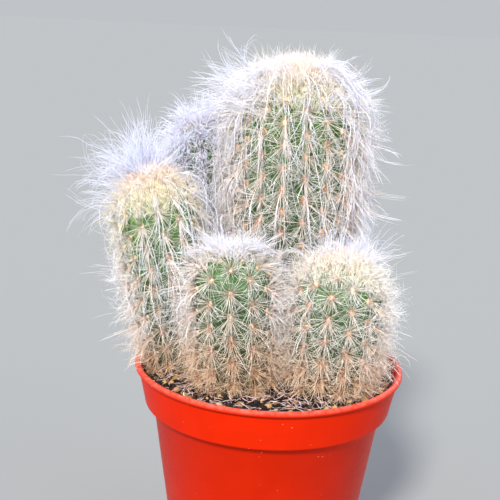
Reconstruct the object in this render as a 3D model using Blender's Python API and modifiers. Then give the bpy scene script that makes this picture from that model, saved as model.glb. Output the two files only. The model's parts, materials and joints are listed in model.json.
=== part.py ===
# A clump of Peruvian old man cacti in a round plastic nursery pot.
# Metres, +Z up. The origin is the centre of the pot's underside, and -Y is the front.
import math
import random

import bmesh
import bpy
from mathutils import Matrix, Vector, kdtree, noise

MM = 0.001
FIT = 0.35 * MM  # gap between pieces that touch
UP = Vector((0, 0, 1))
GOLDEN_ANGLE = math.pi * (3 - math.sqrt(5))

# Pot
POT_HEIGHT = 92 * MM
LIP_RADIUS = 52.5 * MM
LIP_HEIGHT = 2.4 * MM
COLLAR_HEIGHT = 16.3 * MM
COLLAR_TOP_RADIUS = 51.2 * MM
COLLAR_FOOT_RADIUS = 48.5 * MM
BODY_TOP_RADIUS = 45.2 * MM
BASE_RADIUS = 34 * MM
WALL = 1.2 * MM
FOOT_RING_WIDTH = 2.5 * MM
FOOT_HEIGHT = 1.5 * MM
BASE_PAD_RADIUS = 11 * MM
FLOOR_TOP = FOOT_HEIGHT + WALL
POT_STEPS = 40
DRAIN_HOLES = 6
DRAIN_HOLE_RADIUS = 3 * MM
DRAIN_CIRCLE_RADIUS = 21 * MM

# Soil
SOIL_LEVEL = POT_HEIGHT - 4 * MM
SOIL_STEPS = 32
SOIL_RING_STEP = 8 * MM
SOIL_ROUGHNESS = 1.1 * MM
PLANTING_DEPTH = 6.5 * MM
GRIT_STONES = 22
GRIT_RADIUS = (1.3 * MM, 2.2 * MM)

# Spines and wool
SPINE_LENGTH = 5 * MM
SPINE_STRETCH = (0.8, 1.5)
SPINE_RADIUS = 0.4 * MM
SPINE_ROOT = 1.6 * MM
SPINE_SIDES = 3
LOCK_SIDES = 3
LOCK_ROOT_RADIUS = 1.05 * MM
LOCK_TIP_RADIUS = 0.25 * MM
STANDING_SEGMENTS = 3
FALLING_SEGMENTS = 4
LOCK_TRIES = 12
WOOL_THICKNESS = 2.6 * MM
RIB_DEPTH = 0.125  # valley depth as a share of the stem's radius
AREOLE_RISE = 0.035  # height of an areole over the rib, as a share of the radius

# Each stem's axis runs from its base at the soil through a middle point to its tip (mm, from the soil level).
# comb is the way its wool leans, and the wool numbers are locks that stand up and locks that fall.
STEMS = {
    "tall": {
        "base": (5.5, 18.5, 0), "middle": (6, 20, 60), "tip": (5, 17.5, 117),
        "radius": 22.8, "base_share": 0.82, "ribs": 18, "areole_step": 8.8,
        "cap_arc": 16, "comb": (0.0, 0.05), "standing": 14, "falling": 24,
        "standing_length": (12, 19), "falling_length": (28, 62), "spines": 62,
    },
    "left": {
        "base": (-34.5, -1, 0), "middle": (-40.5, -2, 38), "tip": (-49.5, -4, 77),
        "radius": 14.5, "base_share": 0.76, "ribs": 14, "areole_step": 8.0,
        "cap_arc": 10, "comb": (-0.25, 0.35), "standing": 18, "falling": 12,
        "standing_length": (18, 30), "falling_length": (24, 46), "spines": 40,
    },
    "back": {
        "base": (-25.5, 26.5, 0), "middle": (-29, 31.5, 50), "tip": (-32, 34, 93),
        "radius": 12.2, "base_share": 0.78, "ribs": 12, "areole_step": 8.0,
        "cap_arc": 9, "comb": (-0.1, 0.2), "standing": 9, "falling": 8,
        "standing_length": (12, 18), "falling_length": (20, 42), "spines": 32,
    },
    "front": {
        "base": (-12, -17, 0), "middle": (-14, -17.5, 26), "tip": (-15.5, -16.5, 51),
        "radius": 14.3, "base_share": 0.88, "ribs": 12, "areole_step": 8.0,
        "cap_arc": 8.5, "comb": (0.0, 0.1), "standing": 12, "falling": 5,
        "standing_length": (9, 17), "falling_length": (16, 26), "spines": 28,
    },
    "right": {
        "base": (22.5, -15.5, 0), "middle": (24, -15, 25), "tip": (26, -12, 49),
        "radius": 16.4, "base_share": 0.86, "ribs": 14, "areole_step": 7.4,
        "cap_arc": 10, "comb": (0.35, 0.15), "standing": 16, "falling": 8,
        "standing_length": (14, 22), "falling_length": (18, 32), "spines": 34,
    },
}


def clear_scene():
    for obj in list(bpy.data.objects):
        bpy.data.objects.remove(obj, do_unlink=True)


def new_collection(name):
    collection = bpy.data.collections.new(name)
    bpy.context.scene.collection.children.link(collection)
    return collection


def make_material(name, colour, roughness):
    material = bpy.data.materials.new(name)
    material.use_nodes = True
    shader = material.node_tree.nodes["Principled BSDF"]
    shader.inputs["Base Color"].default_value = (*colour, 1)
    shader.inputs["Roughness"].default_value = roughness
    shader.inputs["Metallic"].default_value = 0
    return material


def object_from_bmesh(name, bm, collection, material=None, sharp_angle=40):
    mesh = bpy.data.meshes.new(name)
    bmesh.ops.recalc_face_normals(bm, faces=bm.faces)
    bm.to_mesh(mesh)
    bm.free()
    finish_mesh(mesh, material, sharp_angle)
    obj = bpy.data.objects.new(name, mesh)
    collection.objects.link(obj)
    return obj


def finish_mesh(mesh, material, sharp_angle):
    mesh.materials.clear()
    if material:
        mesh.materials.append(material)
    mesh.shade_smooth()
    mesh.set_sharp_from_angle(angle=math.radians(sharp_angle))


def evaluated_mesh(obj):
    bpy.context.view_layer.update()
    graph = bpy.context.evaluated_depsgraph_get()
    return bpy.data.meshes.new_from_object(obj.evaluated_get(graph))


def turned(name, profile, steps, collection):
    """Spins (radius, height) points, which run up the inside and down the outside, round Z."""
    bm = bmesh.new()
    points = [bm.verts.new((radius, 0, height)) for radius, height in profile]
    for first, second in zip(points, points[1:]):
        bm.edges.new((first, second))
    mesh = bpy.data.meshes.new(name)
    bm.to_mesh(mesh)
    bm.free()
    obj = bpy.data.objects.new(name, mesh)
    collection.objects.link(obj)
    screw = obj.modifiers.new("turn", "SCREW")
    screw.steps = screw.render_steps = steps
    screw.use_merge_vertices = True
    screw.merge_threshold = 0.00001
    obj.data = evaluated_mesh(obj)
    obj.modifiers.clear()
    return obj


def apply_boolean(obj, operation, pieces, solver="EXACT"):
    """Joins or cuts obj by all the pieces at once, and removes them."""
    group = new_collection(obj.name + "_tools")
    for piece in pieces:
        for owner in list(piece.users_collection):
            owner.objects.unlink(piece)
        group.objects.link(piece)
    boolean = obj.modifiers.new(operation.lower(), "BOOLEAN")
    boolean.operation = operation
    boolean.operand_type = "COLLECTION"
    boolean.collection = group
    boolean.solver = solver
    obj.data = evaluated_mesh(obj)
    obj.modifiers.clear()
    for piece in list(group.objects):
        bpy.data.objects.remove(piece)
    bpy.data.collections.remove(group)


def keep_main_body(mesh):
    """Fills the hollows that a union sealed and drops its scraps: only the largest shell stays."""
    bm = bmesh.new()
    bm.from_mesh(mesh)
    unseen = set(bm.verts)
    shells = []
    while unseen:
        start = unseen.pop()
        shell, edge = {start}, [start]
        while edge:
            near = {link.other_vert(vertex) for vertex in edge for link in vertex.link_edges}
            edge = list(near - shell)
            shell |= near
        unseen -= shell
        shells.append(shell)
    main_shell = max(shells, key=len)
    bmesh.ops.delete(bm, geom=[vertex for vertex in bm.verts if vertex not in main_shell], context="VERTS")
    bm.to_mesh(mesh)
    bm.free()


# The pot and what fills it


def body_wall_radius(height, inset=0.0):
    """Outer radius of the tapering body at a height, less an inset."""
    share = height / (POT_HEIGHT - COLLAR_HEIGHT)
    return BASE_RADIUS + (BODY_TOP_RADIUS - BASE_RADIUS) * share - inset


def pot_profile():
    step = POT_HEIGHT - COLLAR_HEIGHT
    inner_step = step + WALL
    inside = [
        (0, FLOOR_TOP),
        (body_wall_radius(FLOOR_TOP, WALL), FLOOR_TOP),
        (body_wall_radius(inner_step, WALL), inner_step),
        (COLLAR_FOOT_RADIUS - WALL, inner_step),
        (COLLAR_TOP_RADIUS - WALL, POT_HEIGHT - 0.4 * MM),
        (COLLAR_TOP_RADIUS - 0.7 * MM, POT_HEIGHT),
    ]
    lip = [
        (LIP_RADIUS - 0.7 * MM, POT_HEIGHT),
        (LIP_RADIUS, POT_HEIGHT - 0.8 * MM),
        (LIP_RADIUS, POT_HEIGHT - LIP_HEIGHT + 0.6 * MM),
        (COLLAR_TOP_RADIUS, POT_HEIGHT - LIP_HEIGHT),
    ]
    outside = [
        (COLLAR_FOOT_RADIUS + 0.1 * MM, step + 0.7 * MM),
        (COLLAR_FOOT_RADIUS - 0.6 * MM, step),
        (body_wall_radius(step), step),
        (body_wall_radius(0.8 * MM), 0.8 * MM),
        (BASE_RADIUS - 0.7 * MM, 0),
        (BASE_RADIUS - FOOT_RING_WIDTH, 0),
        (BASE_RADIUS - FOOT_RING_WIDTH - 0.5 * MM, FOOT_HEIGHT),
        (BASE_PAD_RADIUS + 0.5 * MM, FOOT_HEIGHT),
        (BASE_PAD_RADIUS, 0),
        (0, 0),
    ]
    return inside + lip + outside


def drain_hole_cutters(collection):
    cutters = []
    for index in range(DRAIN_HOLES):
        angle = 2 * math.pi * index / DRAIN_HOLES
        bm = bmesh.new()
        bmesh.ops.create_cone(
            bm, cap_ends=True, segments=8, radius1=DRAIN_HOLE_RADIUS, radius2=DRAIN_HOLE_RADIUS, depth=8 * MM
        )
        cutter = object_from_bmesh(f"drain_cutter_{index}", bm, collection)
        cutter.location = (DRAIN_CIRCLE_RADIUS * math.cos(angle), DRAIN_CIRCLE_RADIUS * math.sin(angle), FLOOR_TOP)
        cutters.append(cutter)
    return cutters


def make_pot(parts, cutters, material):
    pot = turned("pot", pot_profile(), POT_STEPS, parts)
    apply_boolean(pot, "DIFFERENCE", drain_hole_cutters(cutters))
    finish_mesh(pot.data, material, 30)
    return pot


def soil_profile():
    ledge = POT_HEIGHT - COLLAR_HEIGHT + WALL + FIT
    bottom = FLOOR_TOP + FIT
    top_radius = COLLAR_TOP_RADIUS - WALL - 0.8 * MM
    rings = int(top_radius / SOIL_RING_STEP)
    top = [(ring * top_radius / rings, SOIL_LEVEL) for ring in range(rings + 1)]
    side = [
        (COLLAR_FOOT_RADIUS - WALL - FIT, ledge),
        (body_wall_radius(ledge, WALL + FIT), ledge),
        (body_wall_radius(bottom, WALL + FIT), bottom),
        (0, bottom),
    ]
    return top + side


def soil_height(x, y):
    """Crumbly relief of the soil's surface, in metres above its mean level."""
    point = Vector((x, y, 0)) / (7 * MM)
    return SOIL_ROUGHNESS * (noise.noise(point) + 0.4 * noise.noise(point * 3.1))


def grit_stones(stems, collection):
    """Angular stones, half sunk in the surface, on the soil that the stems leave free."""
    rng = random.Random(41)
    stones = []
    reach = COLLAR_TOP_RADIUS - WALL - 3 * MM
    while len(stones) < GRIT_STONES:
        angle = rng.uniform(0, 2 * math.pi)
        distance = reach * rng.uniform(0.45, 1) ** 0.5
        size = rng.uniform(*GRIT_RADIUS)
        spot = Vector((distance * math.cos(angle), distance * math.sin(angle), SOIL_LEVEL))
        if min((spot - stem.centre(0)).length - stem.radius_at(0) for stem in stems) < size + 1.2 * MM:
            continue
        bm = bmesh.new()
        bmesh.ops.create_icosphere(bm, subdivisions=1, radius=size)
        for vertex in bm.verts:
            vertex.co *= rng.uniform(0.75, 1.1)
        stone = object_from_bmesh(f"stone_{len(stones)}", bm, collection)
        stone.location = spot + UP * (soil_height(spot.x, spot.y) - 0.2 * size)
        stone.rotation_euler = [rng.uniform(0, math.pi) for _ in range(3)]
        stone.scale.z = 0.75
        stones.append(stone)
    return stones


def planting_pit(stem, collection):
    """A plain round hole along the stem's own axis, a fit wider than its foot."""
    depth = PLANTING_DEPTH + FIT
    above = 8 * MM
    bm = bmesh.new()
    radius = stem.crest_radius(0) + FIT
    bmesh.ops.create_cone(
        bm, cap_ends=True, segments=stem.ribs, radius1=radius / math.cos(math.pi / stem.ribs),
        radius2=radius / math.cos(math.pi / stem.ribs), depth=depth + above,
    )
    pit = object_from_bmesh(f"pit_{stem.name}", bm, collection)
    frame = stem.frame(0)
    middle = stem.centre(0) + frame @ UP * (above - depth) / 2
    pit.matrix_world = Matrix.Translation(middle) @ frame.to_4x4()
    return pit


def make_soil(stems, parts, cutters, material):
    soil = turned("soil", soil_profile(), SOIL_STEPS, parts)
    edge = COLLAR_TOP_RADIUS - WALL - 1 * MM
    for vertex in soil.data.vertices:
        if vertex.co.z > SOIL_LEVEL - 1e-6 and vertex.co.xy.length < edge:
            vertex.co.z += soil_height(vertex.co.x, vertex.co.y)
    apply_boolean(soil, "UNION", grit_stones(stems, cutters))
    apply_boolean(soil, "DIFFERENCE", [planting_pit(stem, cutters) for stem in stems])
    finish_mesh(soil.data, material, 25)
    return soil


# The stems


class Stem:
    """A ribbed column round a bent axis. Lengths along the skin are measured from the tip down."""

    def __init__(self, name, spec):
        self.name = name
        self.spec = spec
        self.ribs = spec["ribs"]
        self.radius = spec["radius"] * MM
        soil = UP * SOIL_LEVEL
        self.base = Vector(spec["base"]) * MM + soil
        self.tip = Vector(spec["tip"]) * MM + soil
        self.control = Vector(spec["middle"]) * MM * 2 + soil * 2 - (self.base + self.tip) / 2
        self.length = (self.tip - self.base).length
        self.dome = 1.05 * self.radius
        self.skin_line = self.measure_skin()
        self.skin_length = self.skin_line[-1][0]
        self.axis_spheres = self.measure_axis()

    def centre(self, height):
        """Point of the axis at a height along it; below the soil it runs on straight."""
        share = height / self.length
        if share < 0:
            return self.base + (self.control - self.base).normalized() * height
        return (
            self.base * (1 - share) ** 2 + self.control * 2 * share * (1 - share) + self.tip * share**2
        )

    def frame(self, height):
        """Rotation whose Z is the axis at that height."""
        share = min(max(height / self.length, 0), 1)
        way = (self.control - self.base) * (1 - share) + (self.tip - self.control) * share
        return UP.rotation_difference(way.normalized()).to_matrix()

    def radius_at(self, height):
        share = min(max(height / (0.45 * self.length), 0), 1)
        swell = share * share * (3 - 2 * share)
        base_share = self.spec["base_share"]
        side = self.radius * (base_share + (1 - base_share) * swell)
        up_dome = (height - self.length + self.dome) / self.dome
        return side * math.sqrt(max(0, 1 - max(0, up_dome) ** 2))

    def crest_radius(self, height):
        return self.radius_at(height) + AREOLE_RISE * self.radius

    def measure_skin(self):
        """(length along the skin from the tip, height, radius) down to the planted foot."""
        line = [(0.0, self.length, 0.0)]
        dome_steps = 60
        heights = [
            self.length - self.dome * (1 - math.cos(math.pi / 2 * step / dome_steps))
            for step in range(1, dome_steps + 1)
        ]
        side_steps = 60
        side = self.length - self.dome + PLANTING_DEPTH
        heights += [heights[-1] - side * step / side_steps for step in range(1, side_steps + 1)]
        for height in heights:
            run, last_height, last_radius = line[-1]
            radius = self.radius_at(height)
            run += math.hypot(radius - last_radius, height - last_height)
            line.append((run, height, radius))
        return line

    def measure_axis(self):
        """Spheres that fill the column, for distances to it."""
        steps = 24
        top = self.length - self.dome
        heights = [top * step / steps for step in range(-2, steps + 1)]
        return [(self.centre(height), self.radius_at(height)) for height in heights]

    def profile(self, run):
        """(height, radius, outward slope as (along the radius, along the axis)) at a length from the tip."""
        for above, below in zip(self.skin_line, self.skin_line[1:]):
            if run <= below[0]:
                break
        share = min(1, (run - above[0]) / (below[0] - above[0]))
        height = above[1] + (below[1] - above[1]) * share
        radius = above[2] + (below[2] - above[2]) * share
        fall, grow = above[1] - below[1], below[2] - above[2]
        size = math.hypot(fall, grow)
        return height, radius, (fall / size, grow / size)

    def skin(self, angle, run, lift=0.0):
        """(point, outward normal) at an angle and a length from the tip, lifted off the mean skin."""
        height, radius, (outward, upward) = self.profile(run)
        frame = self.frame(height)
        side = frame @ Vector((math.cos(angle), math.sin(angle), 0))
        normal = side * outward + frame @ UP * upward
        return self.centre(height) + side * radius + normal * lift, normal

    def clearance(self, point):
        """(distance from the smooth column, the way out of it)."""
        best = min(self.axis_spheres, key=lambda sphere: (point - sphere[0]).length - sphere[1])
        away = point - best[0]
        return away.length - best[1], away.normalized()

    def rib_angle(self, half_rib):
        return math.pi * half_rib / self.ribs

    def rows(self):
        return round((self.skin_length) / (self.spec["areole_step"] * MM / 2))

    def row_run(self, row):
        return self.skin_length * row / self.rows()

    def is_areole(self, half_rib, row):
        """Areoles sit on every second row of a rib, and neighbouring ribs alternate."""
        return half_rib % 2 == 0 and (half_rib // 2 + row) % 2 == 0


def stem_body(stem, collection):
    """A ribbed sphere pulled along the stem's axis: crests at even columns, raised at each areole."""
    rows = stem.rows()
    bm = bmesh.new()
    bmesh.ops.create_uvsphere(bm, u_segments=2 * stem.ribs, v_segments=rows + 1, radius=1)
    foot = stem.centre(-PLANTING_DEPTH)
    for vertex in bm.verts:
        row = round(math.acos(max(-1, min(1, vertex.co.z))) / math.pi * (rows + 1))
        if row == rows + 1:
            vertex.co = foot
            continue
        half_rib = round(math.atan2(vertex.co.y, vertex.co.x) / math.pi * stem.ribs) % (2 * stem.ribs)
        run = stem.row_run(row)
        radius = stem.profile(run)[1]
        lift = -RIB_DEPTH * radius
        if half_rib % 2 == 0:
            lift = AREOLE_RISE * radius * (1 if stem.is_areole(half_rib, row) else -0.8)
        vertex.co = stem.skin(stem.rib_angle(half_rib), run, lift)[0]
    return object_from_bmesh("stem_" + stem.name, bm, collection)


def spine_mesh():
    """One straight needle along +Z, from its sunk root to its tip."""
    bm = bmesh.new()
    length = SPINE_LENGTH + SPINE_ROOT
    bmesh.ops.create_cone(
        bm, cap_ends=True, segments=SPINE_SIDES, radius1=SPINE_RADIUS, radius2=0, depth=length,
        matrix=Matrix.Translation((0, 0, length / 2 - SPINE_ROOT)),
    )
    mesh = bpy.data.meshes.new("spine")
    bm.to_mesh(mesh)
    bm.free()
    return mesh


def spine_places(stem):
    """Areoles between the wool cap and the soil, in an even spread of the wanted number."""
    top = stem.spec["cap_arc"] * MM + 3 * MM
    places = []
    for row in range(stem.rows()):
        run = stem.row_run(row)
        if run < top or stem.profile(run)[0] < 2.5 * MM:
            continue
        for half_rib in range(0, 2 * stem.ribs, 2):
            if stem.is_areole(half_rib, row):
                places.append((half_rib, run))
    wanted = stem.spec["spines"]
    return [places[int(len(places) * (index + 0.5) / wanted)] for index in range(wanted)]


def spine_pieces(stem, others, locks, mesh, collection):
    """Spines that fan out of their areoles, sideways and a little down, clear of all other pieces."""
    rng = random.Random("spines " + stem.name)
    pieces = []
    for half_rib, run in spine_places(stem):
        root, normal = stem.skin(stem.rib_angle(half_rib), run)
        down = -(stem.frame(0) @ UP)
        sideways = normal.cross(down).normalized()
        for _ in range(12):
            way = (normal + down * rng.uniform(-0.2, 0.75) + sideways * rng.uniform(-0.8, 0.8)).normalized()
            stretch = rng.uniform(*SPINE_STRETCH)
            points = [root + way * SPINE_LENGTH * stretch * share for share in (0.25, 0.5, 0.75, 1)]
            if is_free(points, SPINE_RADIUS + 0.5 * MM, others, locks, 1.2 * MM):
                turn = UP.rotation_difference(way).to_matrix().to_4x4()
                piece = bpy.data.objects.new(f"spine_{stem.name}_{len(pieces)}", mesh)
                piece.matrix_world = Matrix.Translation(root) @ turn @ Matrix.Diagonal((1, 1, stretch, 1))
                collection.objects.link(piece)
                pieces.append(piece)
                for point in points:
                    locks.add(point, SPINE_RADIUS)
                break
    return pieces


# The wool


class Clearance:
    """Points on pieces already placed, with the radius of the piece there."""

    def __init__(self):
        self.points = []
        self.tree = None

    def add(self, point, radius):
        self.points.append((point.copy(), radius))

    def settle(self):
        """Makes the added points count in later tests."""
        self.tree = kdtree.KDTree(len(self.points))
        for index, (point, _) in enumerate(self.points):
            self.tree.insert(point, index)
        self.tree.balance()

    def clear_of(self, point, radius, spacing):
        if not self.tree:
            return True
        reach = radius + LOCK_ROOT_RADIUS + spacing
        return not any(
            distance < radius + self.points[index][1] + spacing
            for _, index, distance in self.tree.find_range(point, reach)
        )


def is_free(points, radius, others, placed, spacing):
    """True if no point comes near another stem, the pot, the soil or what is placed."""
    for point in points:
        if any(other.clearance(point)[0] < radius + AREOLE_RISE * other.radius + 0.3 * MM for other in others):
            return False
        if not outside_pot(point, radius) or not placed.clear_of(point, radius, spacing):
            return False
    return True


def outside_pot(point, radius):
    """True if the point is over the soil or clear of the lip."""
    if point.z > POT_HEIGHT + radius + 0.5 * MM:
        return True
    distance = point.xy.length
    over_soil = distance < COLLAR_TOP_RADIUS - WALL - radius - 1 * MM
    if over_soil:
        return point.z > SOIL_LEVEL + SOIL_ROUGHNESS + GRIT_RADIUS[1] + radius
    return distance > LIP_RADIUS + radius + 1 * MM


def lock_path(stem, others, placed, rng, standing, place):
    """Points of one lock of hair, or None where there is no room for it. Place runs from 0 to 1 over the locks."""
    spec = stem.spec
    cap = spec["cap_arc"] * MM
    low, high = spec["standing_length" if standing else "falling_length"]
    length = rng.uniform(low, high) * MM
    comb = Vector((*spec["comb"], 0))
    up = stem.frame(stem.length) @ UP
    if standing:
        angle = place * spec["standing"] * GOLDEN_ANGLE + rng.uniform(-0.3, 0.3)
        run = cap * 0.8 * math.sqrt(place)
        root, normal = stem.skin(angle, run, WOOL_THICKNESS - 1 * MM)
        way = normal + comb + up * rng.uniform(0.0, 0.5)
        droop = rng.uniform(0.02, 0.16)
    else:
        angle = 2 * math.pi * (place + rng.uniform(-0.5, 0.5) / spec["falling"])
        run = cap * rng.uniform(0.6, 0.92)
        root, normal = stem.skin(angle, run, WOOL_THICKNESS - 1 * MM)
        way = normal + up * rng.uniform(-0.9, -0.2) + comb * 0.3
        droop = rng.uniform(0.55, 0.95)
    side = normal.cross(UP) if abs(normal.z) < 0.95 else Vector((1, 0, 0))
    way = (way + side.normalized() * rng.uniform(-0.35, 0.35)).normalized()
    steps = 3 * (STANDING_SEGMENTS if standing else FALLING_SEGMENTS)
    step = length / steps
    stand_off = rng.uniform(3.6, 7.5) * MM
    curl = Vector([rng.uniform(-1, 1) for _ in range(3)]) * 0.1
    path = [root]
    for index in range(steps):
        share = (index + 1) / steps
        way = (way - UP * droop * min(1, 3 * share) + curl * math.sin(5 * share)).normalized()
        if not standing and share > 0.6:
            way = (way + stem.clearance(path[-1])[1] * 0.45).normalized()
        point = path[-1] + way * step
        gap, out = stem.clearance(point)
        wanted = min(stand_off, WOOL_THICKNESS + 0.4 * (index + 1) * step)
        if gap < wanted:
            point += out * (wanted - gap)
        radius = LOCK_ROOT_RADIUS * (1 - share) + LOCK_TIP_RADIUS * share
        near_others = any(other.clearance(point)[0] < SPINE_LENGTH * 0.6 + radius for other in others)
        if near_others or not outside_pot(point, radius) or not placed.clear_of(point, radius, 1.1 * MM):
            break
        path.append(point)
    segments = (len(path) - 1) // 3
    if (len(path) - 1) * step < 0.6 * low * MM or segments < 2:
        return None
    return path[: 3 * segments + 1 : 3], path[: 3 * segments + 1]


def lock_piece(name, path, collection, triangle):
    """One lock as a tapering three-sided tube along its path."""
    curve = bpy.data.curves.new(name, "CURVE")
    curve.dimensions = "3D"
    curve.bevel_mode = "OBJECT"
    curve.bevel_object = triangle
    curve.use_fill_caps = True
    spline = curve.splines.new("POLY")
    spline.points.add(len(path) - 1)
    for index, point in enumerate(path):
        share = index / (len(path) - 1)
        spline.points[index].co = (*point, 1)
        spline.points[index].radius = (
            LOCK_ROOT_RADIUS * (1 - share) ** 0.8 + LOCK_TIP_RADIUS * share
        ) / LOCK_ROOT_RADIUS
    obj = bpy.data.objects.new(name, curve)
    collection.objects.link(obj)
    mesh = evaluated_mesh(obj)
    bpy.data.objects.remove(obj)
    bm = bmesh.new()
    bm.from_mesh(mesh)
    bmesh.ops.remove_doubles(bm, verts=bm.verts, dist=0.00001)
    return object_from_bmesh(name, bm, collection)


def triangle_section(collection):
    """The cross-section that every lock follows."""
    curve = bpy.data.curves.new("lock_section", "CURVE")
    curve.dimensions = "2D"
    spline = curve.splines.new("POLY")
    spline.points.add(LOCK_SIDES - 1)
    spline.use_cyclic_u = True
    for index in range(LOCK_SIDES):
        angle = 2 * math.pi * index / LOCK_SIDES
        spline.points[index].co = (
            LOCK_ROOT_RADIUS * math.cos(angle), LOCK_ROOT_RADIUS * math.sin(angle), 0, 1
        )
    section = bpy.data.objects.new("lock_section", curve)
    section.hide_render = True
    section.display_type = "WIRE"
    collection.objects.link(section)
    return section


def wool_cap(stem, collection):
    """A thick felt of wool over the crown: the outer skin of a sphere above, the inner one below."""
    rows = 4
    columns = 12
    cap = stem.spec["cap_arc"] * MM
    inner_lift = AREOLE_RISE * stem.radius + FIT
    bm = bmesh.new()
    bmesh.ops.create_uvsphere(bm, u_segments=columns, v_segments=2 * rows, radius=1)
    for vertex in bm.verts:
        row = round(math.acos(max(-1, min(1, vertex.co.z))) / math.pi * 2 * rows)
        angle = math.atan2(vertex.co.y, vertex.co.x)
        share = min(row, 2 * rows - row) / rows
        thickness = WOOL_THICKNESS * math.sqrt(max(0.16, 1 - 0.7 * share**3))
        lift = inner_lift if row > rows else inner_lift + thickness * (0.5 if row == rows else 1)
        vertex.co = stem.skin(angle, cap * share, lift)[0]
    return object_from_bmesh("wool_" + stem.name, bm, collection)


def make_wool(stem, others, placed, parts, cutters, section, material):
    rng = random.Random("wool " + stem.name)
    cap = wool_cap(stem, parts)
    locks = []
    for standing, wanted in ((True, stem.spec["standing"]), (False, stem.spec["falling"])):
        made = 0
        for turn in range(wanted * LOCK_TRIES):
            found = turn % LOCK_TRIES and found
            if found:
                continue
            place = (turn // LOCK_TRIES + 0.5) / wanted
            found = lock_path(stem, others, placed, rng, standing, place)
            if not found:
                continue
            path, fine_path = found
            name = f"lock_{stem.name}_{len(locks)}"
            locks.append(lock_piece(name, path, cutters, section))
            for index, point in enumerate(fine_path[1:]):
                share = (index + 1) / len(fine_path)
                placed.add(point, LOCK_ROOT_RADIUS * (1 - share) + LOCK_TIP_RADIUS * share)
                placed.add((point + fine_path[index]) / 2, LOCK_ROOT_RADIUS * (1 - share))
            made += 1
        print(stem.name, "standing" if standing else "falling", made, "of", wanted)
    apply_boolean(cap, "UNION", locks, "MANIFOLD")
    keep_main_body(cap.data)
    finish_mesh(cap.data, material, 50)
    return cap


def make_stem(stem, others, placed, parts, cutters, mesh, material):
    body = stem_body(stem, parts)
    spines = spine_pieces(stem, others, placed, mesh, cutters)
    print(stem.name, "spines", len(spines), "of", stem.spec["spines"])
    apply_boolean(body, "UNION", spines, "MANIFOLD")
    keep_main_body(body.data)
    finish_mesh(body.data, material, 35)
    placed.settle()
    return body


def main():
    clear_scene()
    parts = new_collection("potted_old_man_cactus")
    cutters = new_collection("cutters")
    terracotta_red = make_material("orange_red_plastic", (0.75, 0.045, 0.012), 0.38)
    potting_mix = make_material("potting_mix", (0.055, 0.035, 0.022), 0.95)
    green_skin = make_material("green_skin", (0.16, 0.24, 0.10), 0.6)
    white_wool = make_material("white_wool", (0.83, 0.81, 0.78), 0.9)

    stems = [Stem(name, spec) for name, spec in STEMS.items()]
    make_pot(parts, cutters, terracotta_red)
    make_soil(stems, parts, cutters, potting_mix)

    section = triangle_section(cutters)
    spine = spine_mesh()
    placed = Clearance()
    for stem in stems:
        others = [other for other in stems if other is not stem]
        make_wool(stem, others, placed, parts, cutters, section, white_wool)
        placed.settle()
    for stem in stems:
        others = [other for other in stems if other is not stem]
        make_stem(stem, others, placed, parts, cutters, spine, green_skin)


main()
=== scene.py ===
# Potted Peruvian old man cactus: the visible pieces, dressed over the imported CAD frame.
# Metres, +Z up. The origin is the centre of the pot's underside, and -Y is the front.
import json
import math

import bmesh
import bpy
import numpy as np
from mathutils import Matrix, Vector

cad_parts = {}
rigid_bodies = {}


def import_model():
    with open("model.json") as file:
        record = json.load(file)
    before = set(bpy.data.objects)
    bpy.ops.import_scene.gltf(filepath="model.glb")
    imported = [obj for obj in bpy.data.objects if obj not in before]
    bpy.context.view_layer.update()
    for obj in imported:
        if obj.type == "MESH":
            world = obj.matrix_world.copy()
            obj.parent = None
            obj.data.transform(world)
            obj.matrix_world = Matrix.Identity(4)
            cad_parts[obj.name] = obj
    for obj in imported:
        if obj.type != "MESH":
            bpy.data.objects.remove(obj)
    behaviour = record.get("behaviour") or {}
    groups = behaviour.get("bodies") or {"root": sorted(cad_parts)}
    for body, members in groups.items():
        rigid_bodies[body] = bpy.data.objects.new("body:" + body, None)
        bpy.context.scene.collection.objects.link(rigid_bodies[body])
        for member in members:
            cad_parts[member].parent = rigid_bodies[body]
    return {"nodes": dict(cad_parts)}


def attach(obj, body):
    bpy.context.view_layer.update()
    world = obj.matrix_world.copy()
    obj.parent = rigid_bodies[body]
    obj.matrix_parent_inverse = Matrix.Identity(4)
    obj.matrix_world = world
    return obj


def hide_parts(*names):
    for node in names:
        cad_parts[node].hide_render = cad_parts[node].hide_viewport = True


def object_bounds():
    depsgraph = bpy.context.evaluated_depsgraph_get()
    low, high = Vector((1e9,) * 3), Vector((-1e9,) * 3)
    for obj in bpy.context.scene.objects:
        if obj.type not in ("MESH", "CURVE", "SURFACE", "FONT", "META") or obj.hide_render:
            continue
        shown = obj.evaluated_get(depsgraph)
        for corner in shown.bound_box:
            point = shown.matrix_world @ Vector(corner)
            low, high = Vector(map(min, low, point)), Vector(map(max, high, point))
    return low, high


for leftover in list(bpy.data.objects):
    bpy.data.objects.remove(leftover)
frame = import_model()
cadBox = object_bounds()
mm = 0.001
up = np.array([0.0, 0.0, 1.0])
goldenAngle = math.pi * (3 - math.sqrt(5))
print("frame loaded:", len(frame["nodes"]), "nodes")


def linear(hexColour):  # sRGB hex to linear RGBA
    parts = [int(hexColour[i:i + 2], 16) / 255 for i in (1, 3, 5)]
    return tuple(p / 12.92 if p <= 0.04045 else ((p + 0.055) / 1.055) ** 2.4 for p in parts) + (1.0,)


def addNode(tree, kind, inputs=None, ramp=None, **settings):
    # inputs: {socket: a value, or the output that is linked to it}
    node = tree.nodes.new("ShaderNode" + kind)
    for name, value in settings.items():
        setattr(node, name, value)
    for name, value in (inputs or {}).items():
        if isinstance(value, bpy.types.NodeSocket):
            tree.links.new(value, node.inputs[name])
        else:
            node.inputs[name].default_value = value
    if ramp:  # (position, hex colour) stops
        stops = node.color_ramp.elements
        while len(stops) < len(ramp):
            stops.new(0.5)
        for stop, (place, colour) in zip(stops, ramp):
            stop.position = place
            stop.color = linear(colour)
    return node


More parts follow.
